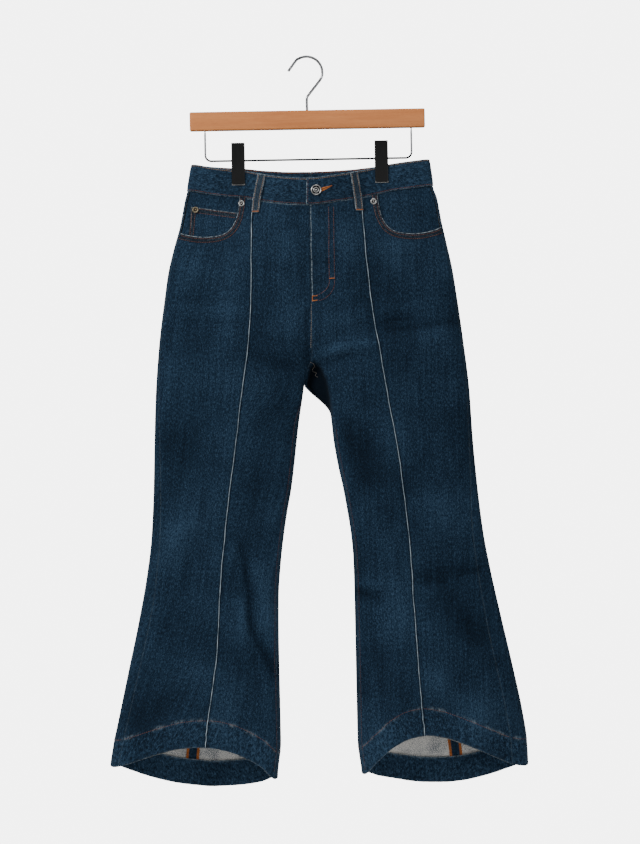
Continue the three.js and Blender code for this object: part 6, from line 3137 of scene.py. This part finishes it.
@dataclass
class Studio:
    """The camera, soft lights, a pale floor and a white surround."""

    finishes: Finishes
    distance: float = 3.0
    aim_x: float = 0.0113
    aim_z: float = -0.55
    roll: float = math.radians(1.0)
    pixel: float = 0.00151
    image_height: int = 844
    floor_z: float = -1.36
    floor_radius: float = 0.62
    backdrop_white: float = 5.6
    level_rise: float = 0.04
    steep_rise: float = 0.6
    level_light: float = 1.2
    steep_light: float = 0.14
    lamps: tuple[Lamp, ...] = (
        Lamp("key_light", (-1.9, -1.5, 1.0), (0.0, 0.0, -0.6), 1.0, 78.0),
        Lamp("fill_light", (2.2, -2.6, -0.2), (0.0, 0.0, -0.6), 2.2, 12.0),
        Lamp("top_light", (0.2, -0.5, 2.0), (0.0, 0.1, -1.0), 1.6, 34.0),
        Lamp("rear_light", (1.4, 2.2, 0.9), (0.0, 0.0, -0.6), 1.4, 60.0),
    )

    def build(self) -> None:
        """Make the camera, the lights and the stage."""
        self.camera()
        self.floor()
        self.lights()

    def camera(self) -> None:
        """A level camera in front, rolled a little."""
        data = bpy.data.cameras.new("camera")
        data.sensor_fit = "VERTICAL"
        data.sensor_height = 24.0
        seen = self.pixel * self.image_height
        data.lens = data.sensor_height * self.distance / seen
        made = bpy.data.objects.new("camera", data)
        made.location = (self.aim_x, -self.distance, self.aim_z)
        made.rotation_mode = "XYZ"
        made.rotation_euler = (QUARTER, self.roll, 0.0)
        bpy.context.scene.collection.objects.link(made)
        bpy.context.scene.camera = made

    def floor(self) -> None:
        """A round pale floor below the hanging garment."""
        turns = np.radians(np.arange(0, 360, 5))
        rings = [[(r * math.cos(a), r * math.sin(a), self.floor_z) for a in turns]
                 for r in (0.02, self.floor_radius)]
        parts = MeshParts()
        parts.add(np.array(rings) / MM, grid_faces(2, len(turns), closed=True))
        parts.add(np.array(rings[0]) / MM, [tuple(range(len(turns)))])
        made = make_object("studio_floor", parts, [self.finishes.paper])

    def lights(self) -> None:
        """Large soft lights and a surround that is brightest at eye level."""
        for lamp in self.lamps:
            self.light(lamp)
        self.surround()

    def surround(self) -> None:
        """A white surround, which lights the cloth much less than it shows behind it."""
        world = bpy.data.worlds.new("surround")
        world.use_nodes = True
        tree = world.node_tree
        sky = tree.nodes["Background"]
        way = tree.nodes.new("ShaderNodeTexCoord")
        parts = tree.nodes.new("ShaderNodeSeparateXYZ")
        steep = tree.nodes.new("ShaderNodeMath")
        steep.operation = "ABSOLUTE"
        fade = tree.nodes.new("ShaderNodeMapRange")
        ends = {"From Min": self.level_rise, "From Max": self.steep_rise,
                "To Min": self.level_light, "To Max": self.steep_light}
        for name, value in ends.items():
            fade.inputs[name].default_value = value
        seen = tree.nodes.new("ShaderNodeLightPath")
        choice = tree.nodes.new("ShaderNodeMix")
        choice.inputs["B"].default_value = self.backdrop_white
        sky.inputs["Color"].default_value = (1.0, 1.0, 1.0, 1.0)
        link = tree.links.new
        link(way.outputs["Generated"], parts.inputs["Vector"])
        link(parts.outputs["Z"], steep.inputs[0])
        link(steep.outputs["Value"], fade.inputs["Value"])
        link(fade.outputs["Result"], choice.inputs["A"])
        link(seen.outputs["Is Camera Ray"], choice.inputs["Factor"])
        link(choice.outputs["Result"], sky.inputs["Strength"])
        bpy.context.scene.world = world

    @staticmethod
    def light(lamp: Lamp) -> None:
        """Make one light and aim it.

        Args:
            lamp: the light.
        """
        data = bpy.data.lights.new(lamp.name, "AREA")
        data.size = lamp.size
        data.energy = lamp.power
        made = bpy.data.objects.new(lamp.name, data)
        made.location = lamp.place
        way = unit(np.array(lamp.target) - np.array(lamp.place))
        pitch = math.acos(-way[2])
        heading = math.atan2(way[1], way[0]) - QUARTER
        made.rotation_euler = (pitch, 0.0, heading)
        bpy.context.scene.collection.objects.link(made)


def main() -> None:
    """Build every piece in order."""
    logging.basicConfig(level=logging.INFO, format="%(name)s %(message)s")
    finishes = Finishes()
    curve = PocketCurve()
    Studio(finishes).build()
    Hanger(finishes).build()
    Waistband(finishes).build()
    panels = LegPanels(finishes, curve)
    panels.build()
    Yokes(finishes).build()
    HemFacings(finishes).build()
    FrontSeams(finishes).build()
    coin = CoinPlace()
    FrontPockets(finishes, curve, coin).build()
    fly = Fly(finishes)
    fly.build()
    pockets = BackPockets(finishes)
    pockets.build()
    loops = BeltLoops(finishes)
    loops.build()
    InsideSeams(finishes).build()
    Topstitching(finishes, curve, coin, pockets, loops, fly).build()
    Fastenings(finishes).build()


if __name__ == "__main__":
    main()
